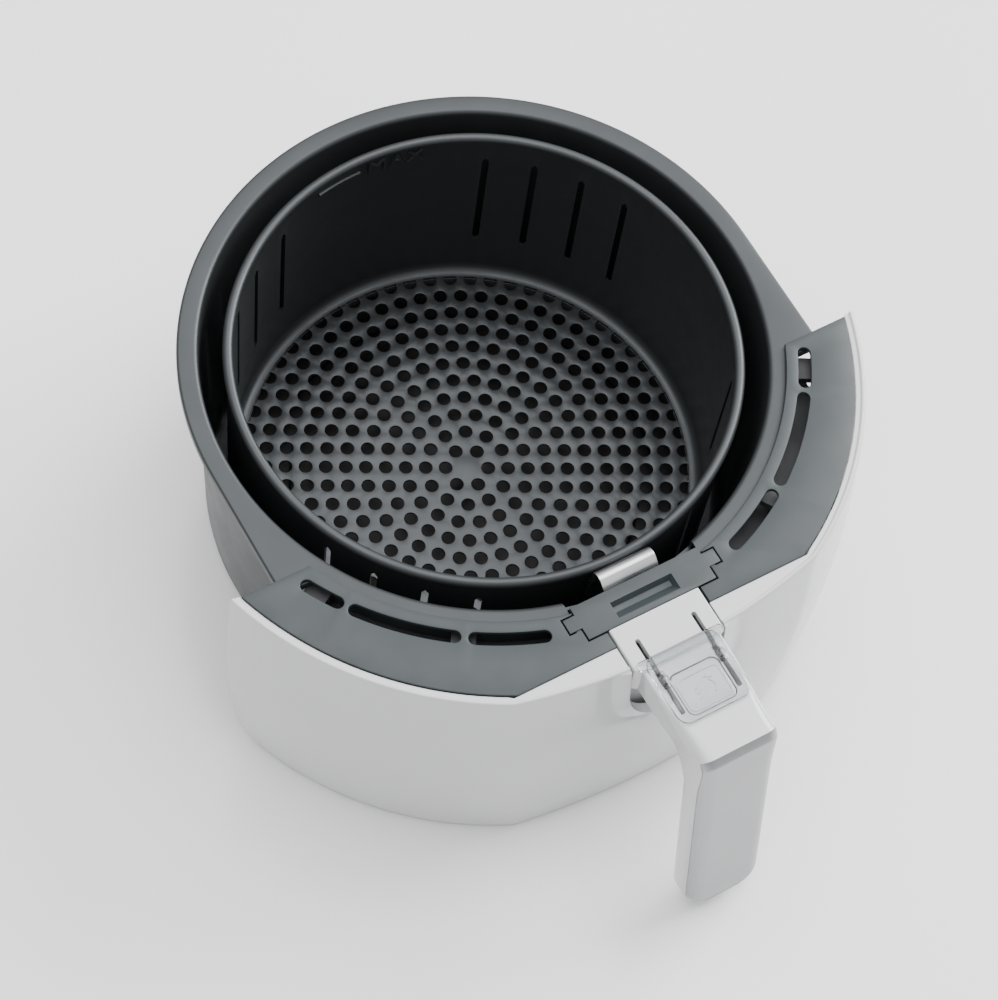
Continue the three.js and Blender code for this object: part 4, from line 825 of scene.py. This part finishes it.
def fascia():
    wing_shares = [i / WING_STEPS for i in range(WING_STEPS)]
    panel_shares = [1 + i / PANEL_STEPS for i in range(PANEL_STEPS + 1)]
    low = FASCIA_BOTTOM
    round_low = DECK_TOP - NOTCH_DEPTH + NOTCH_ROUND
    levels = [low, *[low + REAR_CORNER * (1 - math.cos(math.radians(a))) for a in range(15, 91, 15)]]
    levels += spread(levels[-1], DECK_TOP - NOTCH_DEPTH, 8)[1:-1] + [DECK_TOP - NOTCH_DEPTH]
    levels += [round_low - NOTCH_ROUND * math.cos(math.radians(a)) for a in range(6, 91, 6)]
    levels += spread(levels[-1], DECK_TOP - 2.2, 5)[1:]
    bead = BEAD_WIDTH / 2
    section = [(1.0, low), (0.25, low + 0.2)]
    section += [(0, z) for z in levels[1:]]
    section += [(bead - bead * math.cos(math.radians(a)), DECK_TOP - bead + bead * math.sin(math.radians(a)))
                for a in range(0, 161, 20)]
    section += [(BEAD_WIDTH + 0.1, DECK_TOP - BEAD_RISE), ("ledge", DECK_TOP - BEAD_RISE),
                ("ledge", DECK_TOP - DECK_PLATE)]
    section += [(WALL, z) for z in levels[::-1]]
    rings = []
    for share in wing_shares + panel_shares:
        ring = []
        for inset, z in section:
            x, y = fascia_point(share, z, WALL if inset == "ledge" else inset)
            if inset == "ledge" and share >= 1:
                y = FRONT_EDGE - 0.15
            ring.append((x, y, z))
        rings.append(ring)
    shell = tidy(joined("shell", [fascia_half(rings, levels, side) for side in (1, -1)]), 2e-6)
    bosses = []
    for angle in (-FASCIA_SCREW_ANGLE, FASCIA_SCREW_ANGLE):
        for level in (0.75, 0.25):
            z = level * DECK_TOP
            radius, centre = wing(down_at(z))
            aside = centre * math.sin(math.radians(angle))
            reach = centre * math.cos(math.radians(angle)) + math.sqrt(radius ** 2 - aside ** 2)
            bosses.append(radial_rod("boss", 4, angle, FRAME_OUT_R + GAP, reach - WALL + 0.8, z))
    dress(joined("front_fascia", [shell, *bosses]), "drawer", "white_plastic", ["fascia"], 28)


# ---- Strap, bridge and rivets ----

def strap():
    sheet = STRAP_SHEET
    leg = -(BASKET_IN_R + SHEET + GAP) - sheet / 2
    pass_y = -(RIM_R + SLIP) - sheet / 2
    step_z = RIM_TOP - 2 * BEAD_R - 1
    arch = 2.5
    arch_z = STRAP_HIGH.z - sheet - arch
    tongue = DECK_TOP - 4.5 - sheet / 2
    line = [(leg, STRAP_LOW.z), (leg, step_z - 3.6), (leg - 0.25, step_z - 3.0),
            (pass_y + 0.25, step_z - 0.5), (pass_y, step_z),
            *arc(pass_y - arch - sheet / 2, arch_z, arch + sheet / 2, 0, 100, 10),
            (BRIDGE_BACK + 0.9, DECK_TOP - 3.4), (BRIDGE_BACK + 0.2, DECK_TOP - 4.4),
            (BRIDGE_BACK - 1.4, tongue + 0.1), (BRIDGE_BACK - 2.6, tongue), (STRAP_LOW.y, tongue)]
    sides = ([], [])
    for i, (y, z) in enumerate(line):
        before, after = line[max(i - 1, 0)], line[min(i + 1, len(line) - 1)]
        dy, dz = after[0] - before[0], after[1] - before[1]
        size = math.hypot(dy, dz)
        for list_of, sign in zip(sides, (1, -1)):
            list_of.append((y - sign * dz / size * sheet / 2, z + sign * dy / size * sheet / 2))
    outline = sides[0] + sides[1][::-1]
    half = STRAP_HIGH.x
    obj = prism("strap_band", outline, -half, half)
    trims = [block("trim", side * 9, side * 30, STRAP_LOW.y - 5, NECK_BACK + 2, 90, 120)
             for side in (-1, 1)]
    cut(obj, trims)
    bevel(obj, 0.35, 3, 50)
    dress(obj, "basket_unit", "steel", ["basket_strap"], 40)


def bridge():
    half = BRIDGE_HALF
    tip = BRIDGE_HIGH.x
    right = [(half, BRIDGE_FRONT), (half, TAB_FRONT), (tip, TAB_FRONT), (tip, TAB_BACK), (half, TAB_BACK),
             (half, BRIDGE_BACK)]
    pocket_back = BRIDGE_BACK - 5
    pocket_front = pocket_back - POCKET_LENGTH
    hole = [(-POCKET_HALF, pocket_back), (POCKET_HALF, pocket_back), (POCKET_HALF, pocket_front),
            (-POCKET_HALF, pocket_front)]
    lid = flat_plate("lid", [right + mirror(right), hole], DECK_TOP - 2, DECK_TOP, 0.35)

    def rectangle(grow, slope_front, z):
        x = POCKET_HALF + grow
        return [(x, pocket_back + grow, z), (-x, pocket_back + grow, z),
                (-x, pocket_front - grow + slope_front, z), (x, pocket_front - grow + slope_front, z)]

    floor_z = DECK_TOP - POCKET_DEPTH
    tub = loft("tub", [rectangle(-0.9, 2.2, floor_z), rectangle(0.05, 0, DECK_TOP - 0.45),
                       rectangle(1.1, 0, DECK_TOP - 0.45), rectangle(1.1, 0, floor_z - 1.1)])
    walls = []
    for side in (-1, 1):
        walls.append(block("wall", side * (half - 0.1), side * (half - 2.2),
                           BRIDGE_FRONT + 0.1, BRIDGE_BACK - 0.1, BRIDGE_LOW.z, DECK_TOP - 1))
    obj = joined("bridge_lid", [lid, bevel(tub, 0.2, 2), *walls])
    dress(obj, "basket_unit", "dark_plastic", ["bridge_cover"])


def rivets():
    for node in ("strap_rivet_upper", "strap_rivet_lower"):
        low, high = low_high(node)
        z = (low.z + high.z) / 2
        radius = (high.z - low.z) / 2
        shank = 1.6
        dome = [(radius * math.sin(math.radians(a)), 0.9 * (1 - math.cos(math.radians(a)))) for a in (30, 60, 90)]
        profile = [(0, -high.y), *[(r, -high.y + rise) for r, rise in dome], (shank, -high.y + 0.95),
                   (shank, -low.y - 0.95), *[(r, -low.y - rise) for r, rise in dome[::-1]], (0, -low.y)]
        obj = lathe(node + "_dome", profile, 32)
        obj.data.transform(Matrix.Translation((0, 0, z * MM)) @ Matrix.Rotation(math.radians(90), 4, "X"))
        dress(obj, "basket_unit", "steel", [node])


# ---- Handle ----

def grip_front(z):
    return CREST - 2 - GRIP_LEAN * (DECK_TOP - z)


def under_bend(share):
    """The hollow curve under the handle, from the neck's underside to the back of the grip."""
    back = grip_front(BEND_LOW) + GRIP_THICK
    a = (back + 14, NECK_UNDER)
    b = (grip_front(NECK_UNDER) + GRIP_THICK + 1, NECK_UNDER - 0.5)
    c = (back, BEND_LOW)
    return tuple((1 - share) ** 2 * a[k] + 2 * share * (1 - share) * b[k] + share ** 2 * c[k] for k in (0, 1))


def grip_pair(z):
    """Front and back of the grip at a level."""
    front = (grip_front(z), z)
    if z > BEND_LOW:
        return front, under_bend(mix((1, 0.88), (z - BEND_LOW) / (BEND_HIGH - BEND_LOW)))
    return front, (grip_front(z) + GRIP_THICK, z)


def toe_levels():
    """Levels of the grip from below its bend down to the insert's lower end."""
    return [*spread(93, GRIP_LOW + TOE, 14), *[GRIP_LOW + TOE * share for share in TOE_SHARES]]


def handle_stations():
    """Outer and inner (y, z) point, whether the insert's seat is open there, half width and corner radii."""
    under = NECK_UNDER
    wide, half = SHELL_HIGH.x, NECK_HALF
    bend_y = under_bend(0)[0] - 0.5
    stations = [((y, DECK_TOP), (y, under), False, x, 0.7, 0.8)
                for y, x in ((NECK_BACK, wide), (SHOULDER, wide), (SHOULDER - 1.6, half))]
    for i in range(1, 15):
        y = SHOULDER - 1.6 + (CREST - SHOULDER + 1.6) * i / 14
        inner = (y, under) if y > bend_y else under_bend(0.55 * (bend_y - y) / (bend_y - CREST))
        soft = smooth_step(CREST + 34 - y, 0, 30)
        stations.append(((y, DECK_TOP), inner, False, half, 0.8 + 4.8 * soft, 0.8 + 4.4 * soft))
    for z, share in ((DECK_TOP, 0.55), (CHAMFER_LOW, 0.72), (BEND_HIGH, 0.88)):
        outer_y = CREST if z == DECK_TOP else grip_front(z)
        stations.append(((outer_y, z), under_bend(share), True, half, 5.6 + 0.08 * (DECK_TOP - z), 5.2))
    for z in [*toe_levels(), SEAT_LOW]:
        stations.append((*grip_pair(z), True, half, 6.8, 5.2))
    for z in (SEAT_LOW, GRIP_LOW + 0.9, GRIP_LOW + 0.5, GRIP_LOW + 0.2, GRIP_LOW + 0.03):
        stations.append((*grip_pair(z), False, half, 6.8, 5.2))
    return stations


def toe_draw(z):
    """How far the lower end is drawn in at a level, 0 to 1."""
    share = min(max((z - GRIP_LOW) / TOE, 0), 1)
    return 1 - math.sqrt(max(1 - (1 - share) ** 2, 0))


def front_corner(half, radius, rim):
    """Turn at which a front corner's arc comes within a distance of the side, and its depth there."""
    turn = max(math.asin(min(max((radius - rim) / radius, -1), 1)), math.radians(25))
    return turn, radius * (1 - math.cos(turn))


def in_section(section, outer, inner):
    """Points of (x, depth) set in the plane between an outer and an inner point."""
    (oy, oz), (iy, iz) = outer, inner
    size = math.hypot(iy - oy, iz - oz)
    return [(x, oy + (iy - oy) * d / size, oz + (iz - oz) * d / size) for x, d in section]


def handle_ring(outer, inner, seat, half, front_round, back_round):
    draw = toe_draw(outer[1])
    half -= 6.5 * draw
    first = 1.2 * draw
    last = math.hypot(inner[0] - outer[0], inner[1] - outer[1]) - 6.0 * draw
    split, depth = front_corner(half, front_round, SEAT_RIM)
    centre = half - front_round
    section = []
    for k in range(5):
        turn = split * k / 4
        down = depth if seat else front_round * (1 - math.cos(turn))
        section.append((centre + front_round * math.sin(turn), first + down))
    for k in range(1, 7):
        turn = split + (math.pi / 2 - split) * k / 6
        section.append((centre + front_round * math.sin(turn), first + front_round * (1 - math.cos(turn))))
    for k in range(8):
        turn = math.pi / 2 * k / 7
        section.append((half - back_round * (1 - math.cos(turn)), last - back_round * (1 - math.sin(turn))))
    section += [(-x, d) for x, d in section[::-1]]
    return in_section(section, outer, inner)


def handle():
    under = NECK_UNDER
    body = loft("handle_body", [handle_ring(*station) for station in handle_stations()])
    plate_under = DECK_TOP - 3
    cavity_front = BUTTON_FRONT - 12
    inner_half = NECK_HALF - NECK_WALL
    wide_half = SHELL_HIGH.x - NECK_WALL
    wall_y = NECK_BACK - NECK_WALL
    cutters = [block("c", -inner_half, inner_half, cavity_front, SHOULDER - 1, under - 1, plate_under),
               block("c", -wide_half, wide_half, SHOULDER - 1.2, wall_y, under - 1.2, plate_under - 0.01),
               block("c", -9.5, 9.5, wall_y - 1, NECK_BACK + 1, DECK_TOP - 6.5, DECK_TOP - 4.2)]
    cap_back = NECK_BACK - 25.6
    hole = rounded(BUTTON_HIGH.x + 0.4, cap_back - 16.8 - 0.4, cap_back + 0.4, 3.2)
    cutters.append(prism("c", hole, plate_under - 1, DECK_TOP + 1, "z"))
    for side in (-1, 1):
        slot = [(x + side * GUIDE_X, y) for x, y in rounded(1, GUIDE_BACK - GUIDE_LENGTH, GUIDE_BACK, 0.95, 4)]
        cutters.append(prism("c", slot, plate_under - 1, DECK_TOP + 1, "z"))
    pin_y, pin_z = pin_place()
    bore = [(pin_y + 1.7 * math.cos(t * math.pi / 12), pin_z + 1.7 * math.sin(t * math.pi / 12))
            for t in range(24)]
    cutters.append(prism("c", bore, -30, 30))
    for cutter in cutters:
        cut(body, [cutter])
    dress(body, "basket_unit", "white_plastic", ["handle_shell"], 34)


def pin_place():
    low, high = low_high("latch_pin")
    return (low.y + high.y) / 2, (low.z + high.z) / 2


def insert():
    """The silver face: it follows the grip's rounded front and lies flat on its seat."""
    stations = [((CREST, DECK_TOP), under_bend(0.55), 0.1, 5.6),
                ((CREST - 0.3, DECK_TOP - 0.4), under_bend(0.57), 0, 5.6),
                ((grip_front(CHAMFER_LOW) + 0.25, CHAMFER_LOW + 0.4), under_bend(0.70), 0, 5.8),
                ((grip_front(CHAMFER_LOW), CHAMFER_LOW), under_bend(0.72), 0.03, 5.85),
                ((grip_front(CHAMFER_LOW - 0.6), CHAMFER_LOW - 0.6), under_bend(0.735), 0, 5.9),
                ((grip_front(BEND_HIGH), BEND_HIGH), under_bend(0.88), 0, 6.4)]
    low = INSERT_LOW.z
    for z in [*toe_levels(), low + 0.3, low]:
        stations.append((*grip_pair(z), max(1 - (z - low) / 0.9, 0) ** 2 * 0.8, 6.8))
    rings = []
    for outer, inner, sunk, front_round in stations:
        draw = toe_draw(outer[1])
        half = NECK_HALF - 6.5 * draw
        split, depth = front_corner(half, front_round, SEAT_RIM + 0.2)
        back = 1.2 * draw + front_corner(half, front_round, SEAT_RIM)[1] - 0.15
        centre = half - front_round
        section = []
        for k in range(9):
            turn = split * (1 - k / 8)
            down = 1.2 * draw + sunk + front_round * (1 - math.cos(turn))
            section.append((centre + front_round * math.sin(turn), min(down, back - 0.05)))
        section.append((centre * 0.5, 1.2 * draw + sunk))
        edge = section[0][0]
        section += [(-x, d) for x, d in section[::-1]] + [(-edge, back), (edge, back)]
        rings.append(in_section(section, outer, inner))
    dress(loft("grip_face", rings), "basket_unit", "silver_plastic", ["grip_insert"], 30)


# ---- Guard, button and latch ----

def guard():
    low, high = GUARD_LOW.z, GUARD_HIGH.z
    base = DECK_TOP + GAP
    half = GUARD_HIGH.x - 2.6
    front, back = GUARD_LOW.y, GUARD_HIGH.y
    outline = rounded(half, front, back, 4.5, 8)
    windows = []
    for side in (-1, 1):
        left, right = side * GUIDE_X - 1.6, side * GUIDE_X + 1.6
        windows.append([(left, back - 13), (right, back - 13), (right, back - 6.5), (left, back - 6.5)])
    sheet = flat_plate("sheet", [outline, *windows], base, base + 1.5, 0.4)
    bar_outline = rounded(GUARD_HIGH.x, back - 3.6, back, 1.2, 4)
    bar = flat_plate("bar", [bar_outline], base + 0.05, high, 0.5)
    legs = []
    leg_back = GUIDE_BACK - GUARD_TRAVEL - GAP
    for side in (-1, 1):
        for inner, outer, top in ((11.1, 12.5, base + 0.4), (11.2, 13.4, low + 1.3)):
            leg = block("leg", side * inner, side * outer, leg_back - 2.6, leg_back, low, top)
            legs.append(bevel(leg, 0.15, 2))
        profile = [(0, base + 0.3), (2.0, base + 0.3), (2.0, high - 0.3), (1.7, high), (1.1, high),
                   (0.9, high - 0.5), (0, high - 0.5)]
        legs.append(lathe("boss", profile, 32, (side * GUIDE_X, leg_back - 1.3, 0)))
    obj = joined("guard_slider", [sheet, bar, *legs])
    dress(obj, "guard", "clear_plastic", ["slide_guard"])


def button():
    back, front = BUTTON_BACK, BUTTON_FRONT
    half = BUTTON_HIGH.x
    rim_top = DECK_TOP - 3 - GAP
    cap = flat_plate("cap", [rounded(half, front, back, 2.8)], rim_top - 1.5, DECK_TOP, 0.6)
    rim = bevel(block("rim", -half, half, BUTTON_LOW.y, BUTTON_HIGH.y, rim_top - 1.5, rim_top), 0.2, 2)
    mid = (front + back) / 2
    feet = []
    for side in (-1, 1):
        foot = block("foot", side * 4.3, side * 7, mid - 2, mid + 2, BUTTON_LOW.z, rim_top - 0.5)
        feet.append(bevel(foot, 0.2, 2))
    outlines = [rounded(half - 0.9, front + 0.9, back - 2.5, 2.2),
                rounded(half - 1.6, front + 1.6, back - 3.2, 1.6)]
    ring = flat_plate("ring", outlines, DECK_TOP - 0.3, MARK_TOP, 0.12)
    shapes = []
    for i in range(3):
        y = mid - 2.6 + 1.9 * i
        shapes.append([(-3.6, y - 1.2), (-3.2, y - 1.6), (1.2, y + 0.7), (0.8, y + 1.1)])
    shapes.append(arc(1.4, mid - 1.2, 3.2, -60, 60, 10) + arc(1.4, mid - 1.2, 2.6, 60, -60, 10))
    shapes.append([(1.6, mid + 2.6), (4.4, mid + 1.6), (3.2, mid + 4.2)])
    marks = [flat_plate("mark", [shape], DECK_TOP - 0.2, MARK_TOP, 0.08) for shape in shapes]
    obj = joined("button_cap", [cap, rim, *feet, ring, *marks])
    dress(obj, "button", "white_plastic", ["release_button"])


def spring():
    wire = 0.5
    radius = SPRING_HIGH.x - wire
    mid_y = (SPRING_LOW.y + SPRING_HIGH.y) / 2
    curve = bpy.data.curves.new("button_coil", "CURVE")
    curve.dimensions = "3D"
    curve.bevel_depth = wire * MM
    curve.bevel_resolution = 3
    curve.use_fill_caps = True
    spline = curve.splines.new("POLY")
    turns, steps = 4, 128
    spline.points.add(steps)
    for i, point in enumerate(spline.points):
        t = 2 * math.pi * turns * i / steps
        z = mix((SPRING_LOW.z + wire, SPRING_HIGH.z - wire), i / steps)
        point.co = (radius * math.cos(t) * MM, (mid_y + radius * math.sin(t)) * MM, z * MM, 1)
    obj = bpy.data.objects.new("button_coil", curve)
    bpy.context.scene.collection.objects.link(obj)
    bpy.context.view_layer.update()
    mesh = bpy.data.meshes.new_from_object(obj.evaluated_get(bpy.context.evaluated_depsgraph_get()))
    bpy.data.objects.remove(obj)
    made = bpy.data.objects.new("button_coil", mesh)
    bpy.context.scene.collection.objects.link(made)
    dress(made, "basket_unit", "steel", ["button_spring"])
    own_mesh(made)


def latch_pin():
    low, high = low_high("latch_pin")
    y, z = pin_place()
    radius = (high.z - low.z) / 2
    profile = [(0, low.x), (radius - 0.3, low.x), (radius, low.x + 0.3), (radius, high.x - 0.3),
               (radius - 0.3, high.x), (0, high.x)]
    obj = lathe("latch_axle", profile, 32)
    obj.data.transform(Matrix.Translation((0, y * MM, z * MM)) @ Matrix.Rotation(math.radians(90), 4, "Y"))
    dress(obj, "basket_unit", "steel", ["latch_pin"])


# ---- Screws ----

def screw(node, head_at, tip_at, body):
    """A pan-head screw with a cross recess, from the outer face of its head to its tip."""
    head_at, tip_at = Vector(head_at), Vector(tip_at)
    length = (tip_at - head_at).length
    head, radius, shank = 1.9, 2.8, 1.5
    profile = [(0, 0), (1.4, 0.05), (2.3, 0.3), (radius, 0.9), (radius, head), (shank, head)]
    turns = int((length - head - 0.6) / 0.7)
    for i in range(turns):
        z = head + 0.3 + 0.7 * i
        profile += [(shank - 0.25, z), (shank, z + 0.35)]
    profile += [(shank - 0.25, length - 0.3), (0.8, length), (0, length)]
    obj = lathe(node + "_fine", profile, 24)
    recess = [block("r", -0.3, 0.3, -1.5, 1.5, -1, 0.8), block("r", -1.5, 1.5, -0.3, 0.3, -1, 0.8)]
    cut(obj, recess)
    turn = Vector((0, 0, 1)).rotation_difference(tip_at - head_at).to_matrix().to_4x4()
    obj.data.transform(Matrix.Translation(head_at * MM) @ turn)
    dress(obj, body, "steel", [node])


def screws():
    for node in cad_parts:
        if "screw" not in node:
            continue
        low, high = low_high(node)
        mid = (low + high) / 2
        if node.startswith("keeper"):
            screw(node, (mid.x, high.y, mid.z), (mid.x, low.y, mid.z), "drawer")
        elif node.startswith("fascia"):
            angle = math.copysign(FASCIA_SCREW_ANGLE, mid.x)
            screw(node, (*around(109.3, angle), mid.z), (*around(124.9, angle), mid.z), "drawer")
        else:
            body = "drawer" if node.startswith("deck") else "basket_unit"
            screw(node, (mid.x, mid.y, low.z), (mid.x, mid.y, high.z), body)


# ---- Pieces whose CAD shape stays ----

def kept_nodes():
    for node, slot in (("front_frame", "frame_plastic"), ("latch_keeper", "steel"), ("latch_lever", "steel"),
                       ("neck_underplate", "white_plastic")):
        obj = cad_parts[node]
        obj.data.materials.clear()
        obj.data.materials.append(FINISHES[slot].material)


# ---- Stage, light and camera ----

def stage():
    reach = 4000
    square = [(-reach, -reach), (reach, -reach), (reach, reach), (-reach, reach)]
    floor = flat_plate("studio_floor", [square], -10, -0.2, 1)
    finish = Finish("floor", (0.92, 0.92, 0.925), 0.16)
    finish.rough_from(finish.noise(2), 0.14, 0.18)
    floor.data.materials.clear()
    floor.data.materials.append(finish.material)
    world = bpy.data.worlds.new("studio")
    bpy.context.scene.world = world
    world.use_nodes = True
    nodes, links = world.node_tree.nodes, world.node_tree.links
    way = nodes.new("ShaderNodeTexCoord").outputs["Generated"]
    split = nodes.new("ShaderNodeSeparateXYZ")
    height = nodes.new("ShaderNodeMapRange")
    for socket, value in (("From Min", 0), ("From Max", 1), ("To Min", 0.28), ("To Max", 1.35)):
        height.inputs[socket].default_value = value
    links.new(way, split.inputs["Vector"])
    links.new(split.outputs["Z"], height.inputs["Value"])
    background = nodes["Background"]
    background.inputs["Color"].default_value = (1, 1, 1, 1)
    links.new(height.outputs["Result"], background.inputs["Strength"])


def softbox(name, place, aim, size, power):
    light = bpy.data.lights.new(name, "AREA")
    light.shape = "RECTANGLE"
    light.size, light.size_y = size[0] * MM, size[1] * MM
    light.energy = power
    obj = bpy.data.objects.new(name, light)
    bpy.context.scene.collection.objects.link(obj)
    obj.location = Vector(place) * MM
    obj.rotation_euler = (Vector(aim) - Vector(place)).to_track_quat("-Z", "Y").to_euler()


def lights():
    softbox("key", (2300, 300, 1500), (40, -60, 60), (1800, 1600), 120)
    softbox("overhead", (0, 500, 2600), (0, 0, 60), (3000, 2600), 74)


def camera():
    turn, rise, roll = (math.radians(v) for v in (VIEW_TURN, VIEW_RISE, VIEW_ROLL))
    spin = Matrix.Rotation(-turn, 3, "Z")
    back = spin @ Vector((0, -math.cos(rise), math.sin(rise)))
    right = spin @ Vector((1, 0, 0))
    up = back.cross(right)
    rolled_right = math.cos(roll) * right - math.sin(roll) * up
    rolled_up = math.sin(roll) * right + math.cos(roll) * up
    aim = Vector((AIM_ASIDE, AIM_ABOVE, 1)).normalized()
    tilt = Vector((0, 0, 1)).rotation_difference(aim).to_matrix()
    axes = [row[0] * rolled_right + row[1] * rolled_up - row[2] * back for row in tilt]
    place = Vector((0, 0, BASKET_FLOOR)) + back * VIEW_DISTANCE
    matrix = Matrix((axes[0], axes[1], -axes[2])).transposed().to_4x4()
    matrix.translation = place * MM
    data = bpy.data.cameras.new("view")
    data.lens = LENS
    data.clip_end = 20
    obj = bpy.data.objects.new("view", data)
    bpy.context.scene.collection.objects.link(obj)
    obj.matrix_world = matrix
    bpy.context.scene.camera = obj


for build in (camera, stage, lights, pan, basket, deck, fascia, strap, bridge, rivets, handle, insert, guard,
              button, spring, latch_pin, screws, kept_nodes):
    build()

bpy.context.view_layer.update()
